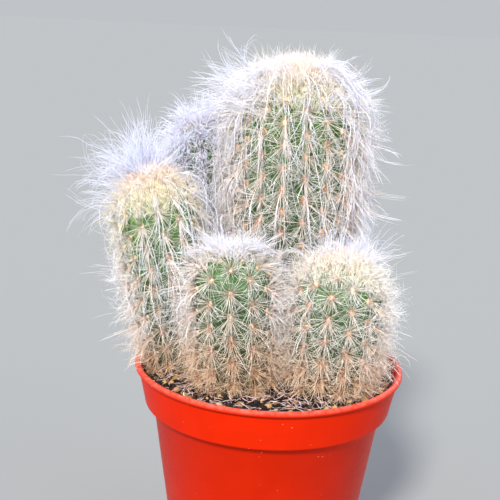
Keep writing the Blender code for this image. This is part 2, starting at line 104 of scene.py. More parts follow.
def newMaterial(name, sockets):
    material = bpy.data.materials.new(name)
    material.use_nodes = True
    shader = material.node_tree.nodes["Principled BSDF"]
    for socket, value in sockets.items():
        shader.inputs[socket].default_value = value
    return material, material.node_tree, shader


def unit(vectors):
    return vectors / np.maximum(np.linalg.norm(vectors, axis=-1, keepdims=True), 1e-12)


def randomUnit(rng, count):
    return unit(rng.normal(size=(count, 3)))


# A part is its points (n, 3), its triangles (m, 3) and its shades, {attribute: a value for each point}.


def meshPiece(name, part, material):
    points, faces, shades = part
    mesh = bpy.data.meshes.new(name)
    mesh.vertices.add(len(points))
    mesh.vertices.foreach_set("co", np.ascontiguousarray(points, dtype=np.float32).ravel())
    mesh.loops.add(3 * len(faces))
    mesh.loops.foreach_set("vertex_index", np.ascontiguousarray(faces, dtype=np.int32).ravel())
    mesh.polygons.add(len(faces))
    mesh.polygons.foreach_set("loop_start", np.arange(0, 3 * len(faces), 3, dtype=np.int32))
    mesh.update(calc_edges=True)
    mesh.shade_smooth()
    for key, values in shades.items():
        mesh.attributes.new(key, "FLOAT", "POINT").data.foreach_set("value", np.float32(values))
    mesh.materials.append(material)
    piece = bpy.data.objects.new(name, mesh)
    bpy.context.scene.collection.objects.link(piece)
    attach(piece, "root")
    print("  ", name, len(faces), "triangles")
    return piece


def joined(parts):
    points, faces, start = [], [], 0
    for part in parts:
        points.append(part[0])
        faces.append(part[1] + start)
        start += len(part[0])
    shades = {key: np.concatenate([part[2][key] for part in parts]) for key in parts[0][2]}
    return np.concatenate(points), np.concatenate(faces), shades


def repeated(faces, pointCount, count):
    # the triangles of count copies of a shape
    return (np.array(faces)[None] + (np.arange(count) * pointCount)[:, None, None]).reshape(-1, 3)


def closedFaces(columns, rings, first, top, foot):
    # triangles over rings of points that are numbered from first, with one point to close each end
    column = first + np.arange(columns)
    after = first + (np.arange(columns) + 1) % columns
    faces = [np.stack([np.full(columns, top), column, after], axis=1)]
    for start in range(0, (rings - 1) * columns, columns):
        a, b = column + start, after + start
        faces += [np.stack([a, a + columns, b + columns], axis=1), np.stack([a, b + columns, b], axis=1)]
    last = (rings - 1) * columns
    faces.append(np.stack([column + last, np.full(columns, foot), after + last], axis=1))
    return np.concatenate(faces)


def ballShape(detail):
    # points and triangles of a ball of radius 1; detail 0 is an octahedron
    ball = bmesh.new()
    if detail:
        bmesh.ops.create_icosphere(ball, subdivisions=detail, radius=1)
    else:
        bmesh.ops.create_uvsphere(ball, u_segments=4, v_segments=2, radius=1)
        bmesh.ops.triangulate(ball, faces=ball.faces)
    points = np.array([vertex.co[:] for vertex in ball.verts])
    faces = np.array([[vertex.index for vertex in face.verts] for face in ball.faces])
    ball.free()
    return points, faces


def tubes(paths, radii, shades, rng):
    # closed three-sided hairs or spines: paths (n, k, 3), radii (n, k - 1), each ending in a point
    count, steps = paths.shape[:2]
    along = unit(np.gradient(paths, axis=1))
    side = unit(np.cross(along, randomUnit(rng, count)[:, None, :]))
    other = np.cross(along, side)
    turns = np.arange(3) * 2 * math.pi / 3
    spread = side[:, :-1, None] * np.cos(turns)[:, None] + other[:, :-1, None] * np.sin(turns)[:, None]
    rings = paths[:, :-1, None] + spread * radii[:, :, None, None]
    points = np.concatenate([rings.reshape(count, -1, 3), paths[:, -1:]], axis=1)
    edges = ((0, 1), (1, 2), (2, 0))
    faces = [(0, 2, 1)]
    for low in range(0, 3 * (steps - 2), 3):
        for a, b in edges:
            faces += [(low + a, low + b, low + 3 + b), (low + a, low + 3 + b, low + 3 + a)]
    tip, last = 3 * (steps - 1), 3 * (steps - 2)
    faces += [(last + a, last + b, tip) for a, b in edges]
    share = np.concatenate([np.repeat(np.linspace(0, 1, steps)[:-1], 3), [1.0]])
    allShades = {key: np.repeat(values, points.shape[1]) for key, values in shades.items()}
    allShades["along"] = np.tile(share, count)
    return points.reshape(-1, 3), repeated(faces, points.shape[1], count), allShades


# the form of the stems and the soil, as in the CAD
potHeight = 92 * mm
soilLevel = potHeight - 4 * mm
plantingDepth = 6.5 * mm
lipRadius = 52.5 * mm
soilRadius = 49 * mm
domeShare = 1.05  # height of the dome, of the stem's radius
swellShare = 0.45  # the share of its length in which a stem grows to its full radius
ribDepth = 0.125  # of the radius
areoleRise = 0.035  # of the radius
grooveSharpness = 1.7
areoleFloor = 1.5 * mm  # no areole stands lower over the soil

# Each axis runs from the soil through a middle point to the tip, in mm from the soil level. areoleStep is in
# mm down a rib, and ageing is how late the skin turns old on the way down.
stemSpecs = {
    "tall": {"base": (5.5, 18.5, 0), "middle": (6, 20, 60), "tip": (5, 17.5, 117),
             "radius": 22.8, "baseShare": 0.82, "ribs": 18, "areoleStep": 8.8, "ageing": 1.3},
    "left": {"base": (-34.5, -1, 0), "middle": (-40.5, -2, 38), "tip": (-49.5, -4, 77),
             "radius": 14.5, "baseShare": 0.76, "ribs": 14, "areoleStep": 8.0, "ageing": 1.6},
    "back": {"base": (-25.5, 26.5, 0), "middle": (-29, 31.5, 50), "tip": (-32, 34, 93),
             "radius": 12.2, "baseShare": 0.78, "ribs": 12, "areoleStep": 8.0, "ageing": 1.2},
    "front": {"base": (-12, -17, 0), "middle": (-14, -17.5, 26), "tip": (-15.5, -16.5, 51),
              "radius": 14.3, "baseShare": 0.88, "ribs": 12, "areoleStep": 8.0, "ageing": 0.9},
    "right": {"base": (22.5, -15.5, 0), "middle": (24, -15, 25), "tip": (26, -12, 49),
              "radius": 16.4, "baseShare": 0.86, "ribs": 14, "areoleStep": 7.4, "ageing": 1.15},
}


class Stem:
    def __init__(self, name, spec):
        self.name, self.ribs = name, spec["ribs"]
        self.radius = spec["radius"] * mm
        self.baseShare, self.ageing = spec["baseShare"], spec["ageing"]
        self.base, middle, self.tip = (
            np.array(spec[key]) * mm + up * soilLevel for key in ("base", "middle", "tip"))
        self.control = 2 * middle - (self.base + self.tip) / 2
        self.length = np.linalg.norm(self.tip - self.base)
        self.dome = domeShare * self.radius
        # the skin line from the tip down: its running length, height and radius
        domeHeights = self.length - self.dome * (1 - np.cos(np.linspace(0, math.pi / 2, 61)))
        sideHeights = np.linspace(domeHeights[-1], -plantingDepth, 61)[1:]
        self.heights = np.concatenate([domeHeights, sideHeights])
        self.radii = self.radiusAt(self.heights)
        fall, grow = -np.diff(self.heights), np.diff(self.radii)
        size = np.hypot(fall, grow)
        self.runs = np.concatenate([[0], np.cumsum(size)])
        self.outward = np.concatenate([[0], fall / size])
        self.upward = np.concatenate([[1], grow / size])
        self.skinLength = self.runs[-1]
        self.rows = round(self.skinLength / (spec["areoleStep"] * mm / 2))
        # a string of balls that fills the column, for clearance
        ballHeights = np.linspace(-plantingDepth, self.length - self.dome, 28)
        self.ballCentres = self.centre(ballHeights)
        self.ballRadii = self.radiusAt(ballHeights)

    def centre(self, height):
        share = np.clip(height / self.length, 0, None)[:, None]
        curve = self.base * (1 - share) ** 2 + self.control * 2 * share * (1 - share) + self.tip * share**2
        return curve + unit(self.control - self.base) * np.minimum(height, 0)[:, None]

    def axis(self, height):
        share = np.clip(height / self.length, 0, 1)[:, None]
        return unit((self.control - self.base) * (1 - share) + (self.tip - self.control) * share)

    def radiusAt(self, height):
        share = np.clip(height / (swellShare * self.length), 0, 1)
        swell = share * share * (3 - 2 * share)
        intoDome = np.clip((height - self.length + self.dome) / self.dome, 0, 1)
        return self.radius * (self.baseShare + (1 - self.baseShare) * swell) * np.sqrt(1 - intoDome**2)

    def skin(self, angle, run, lift=0.0):
        # points and outward normals at angles round the axis and lengths from the tip
        height = np.interp(run, self.runs, self.heights)
        radius = np.interp(run, self.runs, self.radii)
        outward = np.interp(run, self.runs, self.outward)[:, None]
        upward = np.interp(run, self.runs, self.upward)[:, None]
        axis = self.axis(height)
        side = np.stack([np.cos(angle), np.sin(angle), np.zeros_like(angle)], axis=1)
        turn = np.cross(np.broadcast_to(up, axis.shape), axis)
        side = side + np.cross(turn, side) + np.cross(turn, np.cross(turn, side)) / (1 + axis[:, 2:])
        normal = unit(side * outward + axis * upward)
        return self.centre(height) + side * radius[:, None] + normal * np.reshape(lift, (-1, 1)), normal

    def downRib(self, angle, run):
        return unit(self.skin(angle, run + 0.5 * mm)[0] - self.skin(angle, run)[0])

    def age(self, run):
        # 0 at the growing tip, 1 at the planted foot
        return np.clip(run / self.skinLength, 0, 1) ** self.ageing

    def ribLift(self, angle, run):
        # round ribs with narrow grooves, raised at every second row of areoles
        turn = angle * self.ribs / (2 * math.pi)
        crest = 0.5 + 0.5 * np.cos(2 * math.pi * turn)
        row = run / self.skinLength * self.rows
        bump = 0.1 + 0.9 * np.cos(math.pi * (row + np.round(turn)))
        radius = np.interp(run, self.runs, self.radii)
        return radius * (areoleRise * bump * crest**2 - ribDepth * (1 - crest) ** grooveSharpness)

    def areoles(self):
        # angle and run of every areole over the soil, rib by rib, neighbours staggered
        rib, row = np.meshgrid(np.arange(self.ribs), np.arange(1, self.rows))
        keep = (rib + row) % 2 == 0
        angle = rib[keep] * 2 * math.pi / self.ribs
        run = row[keep] * self.skinLength / self.rows
        overSoil = np.interp(run, self.runs, self.heights) > areoleFloor
        return angle[overSoil], run[overSoil]

    def clearance(self, points):
        # distance from the smooth column, and the way out of it
        away = points[:, None] - self.ballCentres
        distance = np.linalg.norm(away, axis=2) - self.ballRadii
        nearest = np.argmin(distance, axis=1)
        rows = np.arange(len(points))
        return distance[rows, nearest], unit(away[rows, nearest])


stems = {name: Stem(name, spec) for name, spec in stemSpecs.items()}

# live skin of a cactus, leathery under a dull wax: pale with wool at the growing tip, green below it and
# brown with cork at the foot, in patches; sizes in mm, drift is how far the patches shift the age
skinLook = {"mottleSize": 1.6, "poreSize": 0.35, "poreDepth": 0.15, "drift": 0.16, "shade": (0.72, 1.2),
            "pointsPerRib": 6, "rowHeight": 2.6,
            "ages": [(0.03, "#E2DAB0"), (0.07, "#728C48"), (0.11, "#46742E"), (0.45, "#335227"),
                     (0.72, "#3C4C2A"), (0.92, "#5C4A30")]}


def skinMaterial():
    material, tree, shader = newMaterial("waxy cactus skin", {"Roughness": 0.52})
    age = addNode(tree, "Attribute", attribute_name="age")
    place = addNode(tree, "TexCoord").outputs["Object"]
    mottle = addNode(tree, "TexNoise", {
        "Vector": place, "Scale": 1 / (skinLook["mottleSize"] * mm), "Detail": 3.0}).outputs["Fac"]
    pores = addNode(tree, "TexNoise", {
        "Vector": place, "Scale": 1 / (skinLook["poreSize"] * mm), "Detail": 2.0}).outputs["Fac"]
    drift = addNode(tree, "Math", {0: mottle, 1: skinLook["drift"], 2: -skinLook["drift"] / 2},
                    operation="MULTIPLY_ADD")
    patchyAge = addNode(tree, "Math", {0: age.outputs["Fac"], 1: drift.outputs[0]}, operation="ADD")
    colour = addNode(tree, "ValToRGB", {"Fac": patchyAge.outputs[0]}, skinLook["ages"]).outputs["Color"]
    low, high = skinLook["shade"]
    shade = addNode(tree, "MapRange", {
        "Value": mottle, "From Min": 0.3, "From Max": 0.7, "To Min": low, "To Max": high}).outputs[0]
    shaded = addNode(tree, "VectorMath", {0: colour, 1: shade}, operation="MULTIPLY")
    tree.links.new(shaded.outputs[0], shader.inputs["Base Color"])
    bump = addNode(tree, "Bump", {"Height": pores, "Strength": 0.35, "Distance": skinLook["poreDepth"] * mm})
    tree.links.new(bump.outputs[0], shader.inputs["Normal"])
    return material


def fibreMaterial(name, look):
    # a hair or spine: one ramp over the stem's age colours its root and another its free end, fade says where
    # along it the one gives way to the other, and tone how much its brightness varies
    material, tree, shader = newMaterial(name, {"Roughness": look["roughness"]})
    age, along, tone = (addNode(tree, "Attribute", attribute_name=key).outputs["Fac"]
                        for key in ("age", "along", "tone"))
    root, tip = (addNode(tree, "ValToRGB", {"Fac": age}, look[end]).outputs["Color"]
                 for end in ("root", "tip"))
    low, high = look["fade"]
    fade = addNode(tree, "MapRange", {"Value": along, "From Min": low, "From Max": high}).outputs[0]
    colour = addNode(tree, "Mix", {"Factor": fade, 6: root, 7: tip}, data_type="RGBA").outputs[2]
    low, high = look["tone"]
    level = addNode(tree, "MapRange", {"Value": tone, "To Min": low, "To Max": high}).outputs[0]
    shaded = addNode(tree, "VectorMath", {0: colour, 1: level}, operation="MULTIPLY")
    tree.links.new(shaded.outputs[0], shader.inputs["Base Color"])
    return material


cactusSkin = skinMaterial()
# keratin-like hair of the areoles, silky: warm cream where it leaves the plant, in part a painted glow of
# light through the deep hair, cold white at its free end
silkyHair = fibreMaterial("silky white hair", {
    "roughness": 0.45, "fade": (0.1, 0.6), "tone": (0.68, 1.0),
    "root": [(0.0, "#EEF0FF"), (0.1, "#F6F0F4"), (0.2, "#FADFCD"), (0.5, "#F6CEB4"), (0.75, "#EEBE90"),
             (1.0, "#CC9664")],
    "tip": [(0.0, "#E4E9FF"), (0.14, "#F4F4FF"), (0.5, "#F8F7FE"), (0.68, "#FAEADC"), (0.85, "#F8DCC0"),
            (1.0, "#EAC29C")]})
# the same hair on the back stem, a little rougher, with painted shade: greyer and bluer, as in the shadow
# behind the tall stem, with a peach cast near the skin
paintedShadeHair = fibreMaterial("silky hair with painted shade", {
    "roughness": 0.5, "fade": (0.1, 0.6), "tone": (0.9, 1.0),
    "root": [(0.0, "#EAE8FA"), (0.2, "#EEE4F2"), (0.5, "#EADFE6"), (0.8, "#DCBC9C"), (1.0, "#BE9672")],
    "tip": [(0.0, "#E4E9FF"), (0.5, "#ECEEFF"), (0.8, "#E8D6C8"), (1.0, "#CCAE92")]})
# dry spines, smooth: yellow and pinkish when new at the crown, cream along the stem, dead brown at the foot
drySpine = fibreMaterial("dry cream spine", {
    "roughness": 0.4, "fade": (0.1, 0.6), "tone": (0.9, 1.02),
    "root": [(0.0, "#F2C4AE"), (0.04, "#FCEED0"), (0.2, "#FEFAF2"), (0.5, "#FAF2E6"), (0.66, "#ECCAA4"),
             (0.95, "#CFA278")],
    "tip": [(0.0, "#FAE4DA"), (0.1, "#FFF9E4"), (0.25, "#FEFDFA"), (0.52, "#FCF8F2"), (0.72, "#F8E4CC"),
            (0.95, "#E8C6A2")]})
# short dense felt of an areole, matt: yellow at the crown, peach along the stem, grey-brown below
areoleFelt = fibreMaterial("areole felt", {
    "roughness": 0.9, "fade": (0.1, 0.8), "tone": (0.9, 1.06),
    "root": [(0.0, "#F3DC96"), (0.15, "#EBC494"), (0.35, "#E3AE86"), (0.65, "#D2A07A"), (0.95, "#A88460")],
    "tip": [(0.0, "#FBF0CC"), (0.3, "#F6DEC2"), (0.65, "#EACEB2"), (0.95, "#C8A684")]})


def buildSkin(stem):
    columns = skinLook["pointsPerRib"] * stem.ribs
    rows = math.ceil(stem.skinLength / (skinLook["rowHeight"] * mm))
    angle, run = np.meshgrid(
        np.arange(columns) * 2 * math.pi / columns, np.arange(1, rows + 1) * stem.skinLength / rows)
    angle, run = angle.ravel(), run.ravel()
    points = stem.skin(angle, run, stem.ribLift(angle, run))[0]
    ends = np.stack([stem.skin(np.zeros(1), np.zeros(1))[0][0], stem.centre(np.array([-plantingDepth]))[0]])
    faces = closedFaces(columns, rows, 0, len(points), len(points) + 1)
    age = np.concatenate([stem.age(run), [0, 1]])
    piece = meshPiece(f"skin_{stem.name}", (np.concatenate([points, ends]), faces, {"age": age}), cactusSkin)
    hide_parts(f"stem_{stem.name}")


# pads of felt: width and height in mm, and how pale they are; each has a few short thick hairs
areoleSpec = {"tall": (2.5, 3.4, 0.3), "left": (1.6, 2.2, 0.9), "back": (1.2, 1.7, 1.0),
              "front": (1.7, 2.3, 0.9), "right": (2.1, 2.7, 0.5), "thickness": 0.5, "roughness": 0.18,
              "fuzz": 4, "fuzzLength": 1.9, "fuzzWidth": 0.4, "fuzzSpread": 0.55}
youngRun = 20 * mm  # nearer to the tip than this, areoles and spines are small


def areoleFrames(stem, angle, run):
    # each areole's place on its rib, its normal, the way down the rib and the way across
    points, normal = stem.skin(angle, run, stem.ribLift(angle, run))
    down = stem.downRib(angle, run)
    return points, normal, down, np.cross(down, normal)


def buildAreoles(stem, rng):
    angle, run = stem.areoles()
    points, normal, down, across = areoleFrames(stem, angle, run)
    shape, shapeFaces = ballShape(1)
    count = len(angle)
    age = stem.age(run)
    grow = 0.8 + 0.4 * np.clip(run / youngRun, 0, 1)
    width, height, pale = areoleSpec[stem.name]
    thick = np.full(count, areoleSpec["thickness"] * width)
    size = np.stack([width / 2 * grow, height / 2 * grow, thick], axis=1) * mm
    jitter = 1 + areoleSpec["roughness"] * rng.uniform(-1, 1, (count, len(shape), 1))
    local = shape[None] * size[:, None] * jitter
    pads = (points[:, None] + local[..., :1] * across[:, None] + local[..., 1:2] * down[:, None]
            + local[..., 2:] * normal[:, None])
    padShades = {"age": np.repeat(age, len(shape)), "tone": np.repeat(rng.random(count), len(shape)),
                 "along": np.tile(np.clip(shape[:, 2], 0, 1) * pale, count)}
    which = np.repeat(np.arange(count), areoleSpec["fuzz"])
    spread = rng.normal(size=(len(which), 2)) * areoleSpec["fuzzSpread"]
    way = unit(normal[which] * 0.9 + across[which] * spread[:, :1] + down[which] * (spread[:, 1:] + 0.15))
    root = points[which] + (across[which] * spread[:, :1] * 0.5 + down[which] * spread[:, 1:] * 0.7) * mm
    length = areoleSpec["fuzzLength"] * mm * rng.uniform(0.7, 1.3, len(which))
    paths = np.stack([root, root + way * length[:, None]], axis=1)
    radii = np.full((len(which), 1), areoleSpec["fuzzWidth"] / 2 * mm)
    fuzz = tubes(paths, radii, {"age": age[which], "tone": rng.random(len(which))}, rng)
    felt = joined([(pads.reshape(-1, 3), repeated(shapeFaces, len(shape), count), padShades), fuzz])
    piece = meshPiece(f"areoles_{stem.name}", felt, areoleFelt)


# Each areole has rings of spines: radial ones lie over the skin, bent ones cross in a web and outer ones
# stand out. New spines crowd the crown as far down as reach, a share of the radius. Sizes are in mm.
spineSpec = {
    "tall": {"radial": 24, "bent": 24, "outer": 12, "length": (9, 15), "width": 0.15,
             "crown": 3800, "crownLength": (4.2, 7.8), "reach": 1.15},
    "left": {"radial": 28, "bent": 26, "outer": 12, "length": (5.5, 10.5), "width": 0.14,
             "crown": 3900, "crownLength": (2.8, 5.0), "reach": 1.5},
    "back": {"radial": 9, "bent": 6, "outer": 5, "length": (5.5, 9), "width": 0.18,
             "crown": 700, "crownLength": (3.0, 5.5), "reach": 3.0},
    "front": {"radial": 20, "bent": 26, "outer": 12, "length": (8, 15), "width": 0.13,
              "crown": 80, "crownLength": (4, 6), "reach": 1.1},
    "right": {"radial": 26, "bent": 30, "outer": 14, "length": (7.5, 13.5), "width": 0.13,
              "crown": 2300, "crownLength": (4.2, 7.2), "reach": 1.15},
}
# how steeply the spines of a ring leave the skin, and their share of the length
spineRings = {"radial": ((0.1, 0.9), 1.0), "bent": ((0.3, 1.4), 1.4), "outer": ((0.9, 2.6), 0.95)}
# rootOffset: out of the skin, across and down the rib, in mm; shorten: at most, for any spine and again for
# the worn ones, older than wornFrom
spineForm = {"rootOffset": (0.8, 0.6, 0.9), "turnScatter": 2, "downLean": 0.12, "shorten": 0.6,
             "wornFrom": 0.6, "bend": 0.8, "widthScatter": 0.28, "taper": 0.75, "crownWidth": 0.24,
             "crownScatter": 0.22, "crownCrowding": 0.62, "crownAge": 0.18}


def areoleSpines(stem, ring, rng):
    spec, form, (lifts, lengthShare) = spineSpec[stem.name], spineForm, spineRings[ring]
    angle, run = stem.areoles()
    points, normal, down, across = areoleFrames(stem, angle, run)
    each = spec[ring]
    which = np.repeat(np.arange(len(angle)), each)
    count, age = len(which), stem.age(run[which])
    points, normal, down, across, run = points[which], normal[which], down[which], across[which], run[which]
    scatter = rng.uniform(-form["turnScatter"], form["turnScatter"], count)
    turn = (np.tile(np.arange(each), len(angle)) + scatter) * 2 * math.pi / each
    c, s = np.cos(turn), np.sin(turn)
    lift = rng.uniform(*lifts, count)
    way = unit(across * c[:, None] + down * (s[:, None] + form["downLean"]) + normal * lift[:, None])
    length = lengthShare * rng.uniform(*spec["length"], count) * (1 + 0.1 * s) * mm
    length *= 1 - form["shorten"] * rng.random(count) ** 2
    length *= 1 - form["shorten"] * np.clip((age - form["wornFrom"]) / 0.3, 0, 1)
    length *= 0.5 + 0.5 * np.clip(run / youngRun, 0, 1)
    outBy, acrossBy, downBy = form["rootOffset"]
    root = points + (normal * outBy + across * (c * acrossBy)[:, None] + down * (s * downBy)[:, None]) * mm
    path = [root, root + way * length[:, None]]
    if ring == "bent":
        half = root + way * length[:, None] * 0.5
        way = unit(way + randomUnit(rng, count) * form["bend"] - normal * 0.3 + down * 0.2)
        path = [root, half, half + way * length[:, None] * 0.5]
    taper = np.array([[1.0, form["taper"]]])[:, :len(path) - 1]
    radii = spec["width"] / 2 * mm * np.exp(rng.normal(0, form["widthScatter"], (count, 1))) * taper
    return tubes(np.stack(path, axis=1), radii, {"age": age, "tone": rng.random(count)}, rng)


def crownSpines(stem, rng):
    spec, form = spineSpec[stem.name], spineForm
    count = spec["crown"]
    place = (np.arange(count) + 0.5) / count
    run = spec["reach"] * stem.radius * place ** form["crownCrowding"]
    angle = np.arange(count) * goldenAngle
    root, outward = stem.skin(angle, run, stem.ribLift(angle, run) - 0.3 * mm)
    ahead = stem.axis(np.full(count, stem.length))
    way = unit(outward + 0.8 * ahead + form["crownScatter"] * rng.normal(size=(count, 3)))
    length = rng.uniform(*spec["crownLength"], count) * (1.05 - 0.2 * place) * mm
    paths = np.stack([root, root + way * length[:, None]], axis=1)
    age = place * form["crownAge"] + 0.02 * rng.normal(size=count)
    radii = np.full((count, 1), form["crownWidth"] / 2 * mm)
    return tubes(paths, radii, {"age": age, "tone": rng.random(count)}, rng)


def buildSpines(stem, rng):
    parts = [areoleSpines(stem, ring, rng) for ring in spineRings] + [crownSpines(stem, rng)]
    piece = meshPiece(f"spines_{stem.name}", joined(parts), drySpine)


# Hair grows as locks: a guide path, and finer hairs that keep round it. Tufts root on the crown and side hair
# in the areoles. Lengths are in mm, angles in degrees; azimuths turn from the right (0) over the back (90).
#   run: where it roots, from the tip down, as shares of the radius (tufts) or of the skin (side hair)
#   rise: how it sets out, over the horizon (tufts) or over the skin's normal (side hair)
#   comb: a way that the whole kind leans; droop: its fall; curl: how far a hair turns over its length
#   standOff: the least distance from the skin; cling: the most, in standOffs; flare: how the ends leave it
#   wave: height of the crimp; spread: of a lock's hairs, at the root and at the end
#   whiten: how much of its tip's colour it gets; tone: its brightness
#   windows: (azimuth, half width, share kept) where the hair is thin
hairBasics = dict(hairs=1, spread=(0.1, 0.1), comb=(0, 0, 0), cling=99, flare=0, wave=0, segments=6,
                  width=0.17, whiten=1, tone=(0.75, 1), windows=[])
# long bright hair of the tall stem's shoulders
crownHair = dict(standOff=(3, 9), curl=60, wave=0.35, spread=(1.3, 0.8), width=0.15, tone=(0.9, 1))
# long single hairs that hang down over the spines
hangingStrand = dict(length=(18, 46), rise=(-75, -30), standOff=(3.5, 7), curl=40, wave=0.25, segments=10,
                     tone=(1, 1))
# crimped locks round the sides and the back
sideLock = dict(hairs=2, run=(0.12, 0.9), length=(9, 20), rise=(-60, 30), comb=(0, 0, -0.3),
                droop=(0.3, 1.2), standOff=(4, 9), curl=80, wave=0.25, spread=(0.7, 1.3))
# airy curled locks in the gaps between the stems
puffLock = dict(hairs=2, length=(11, 24), rise=(-30, 40), droop=(0.2, 0.9), standOff=(3, 9), curl=130,
                spread=(0.8, 1.6), segments=7, width=0.18)
# the brown mat of short old hair round the foot
footMat = dict(length=(6, 14), rise=(-60, 60), comb=(0, 0, 0.05), droop=(-0.4, 0.8), standOff=(1, 7),
               curl=110, spread=(1.5, 1), segments=3, width=0.16, whiten=0.7)
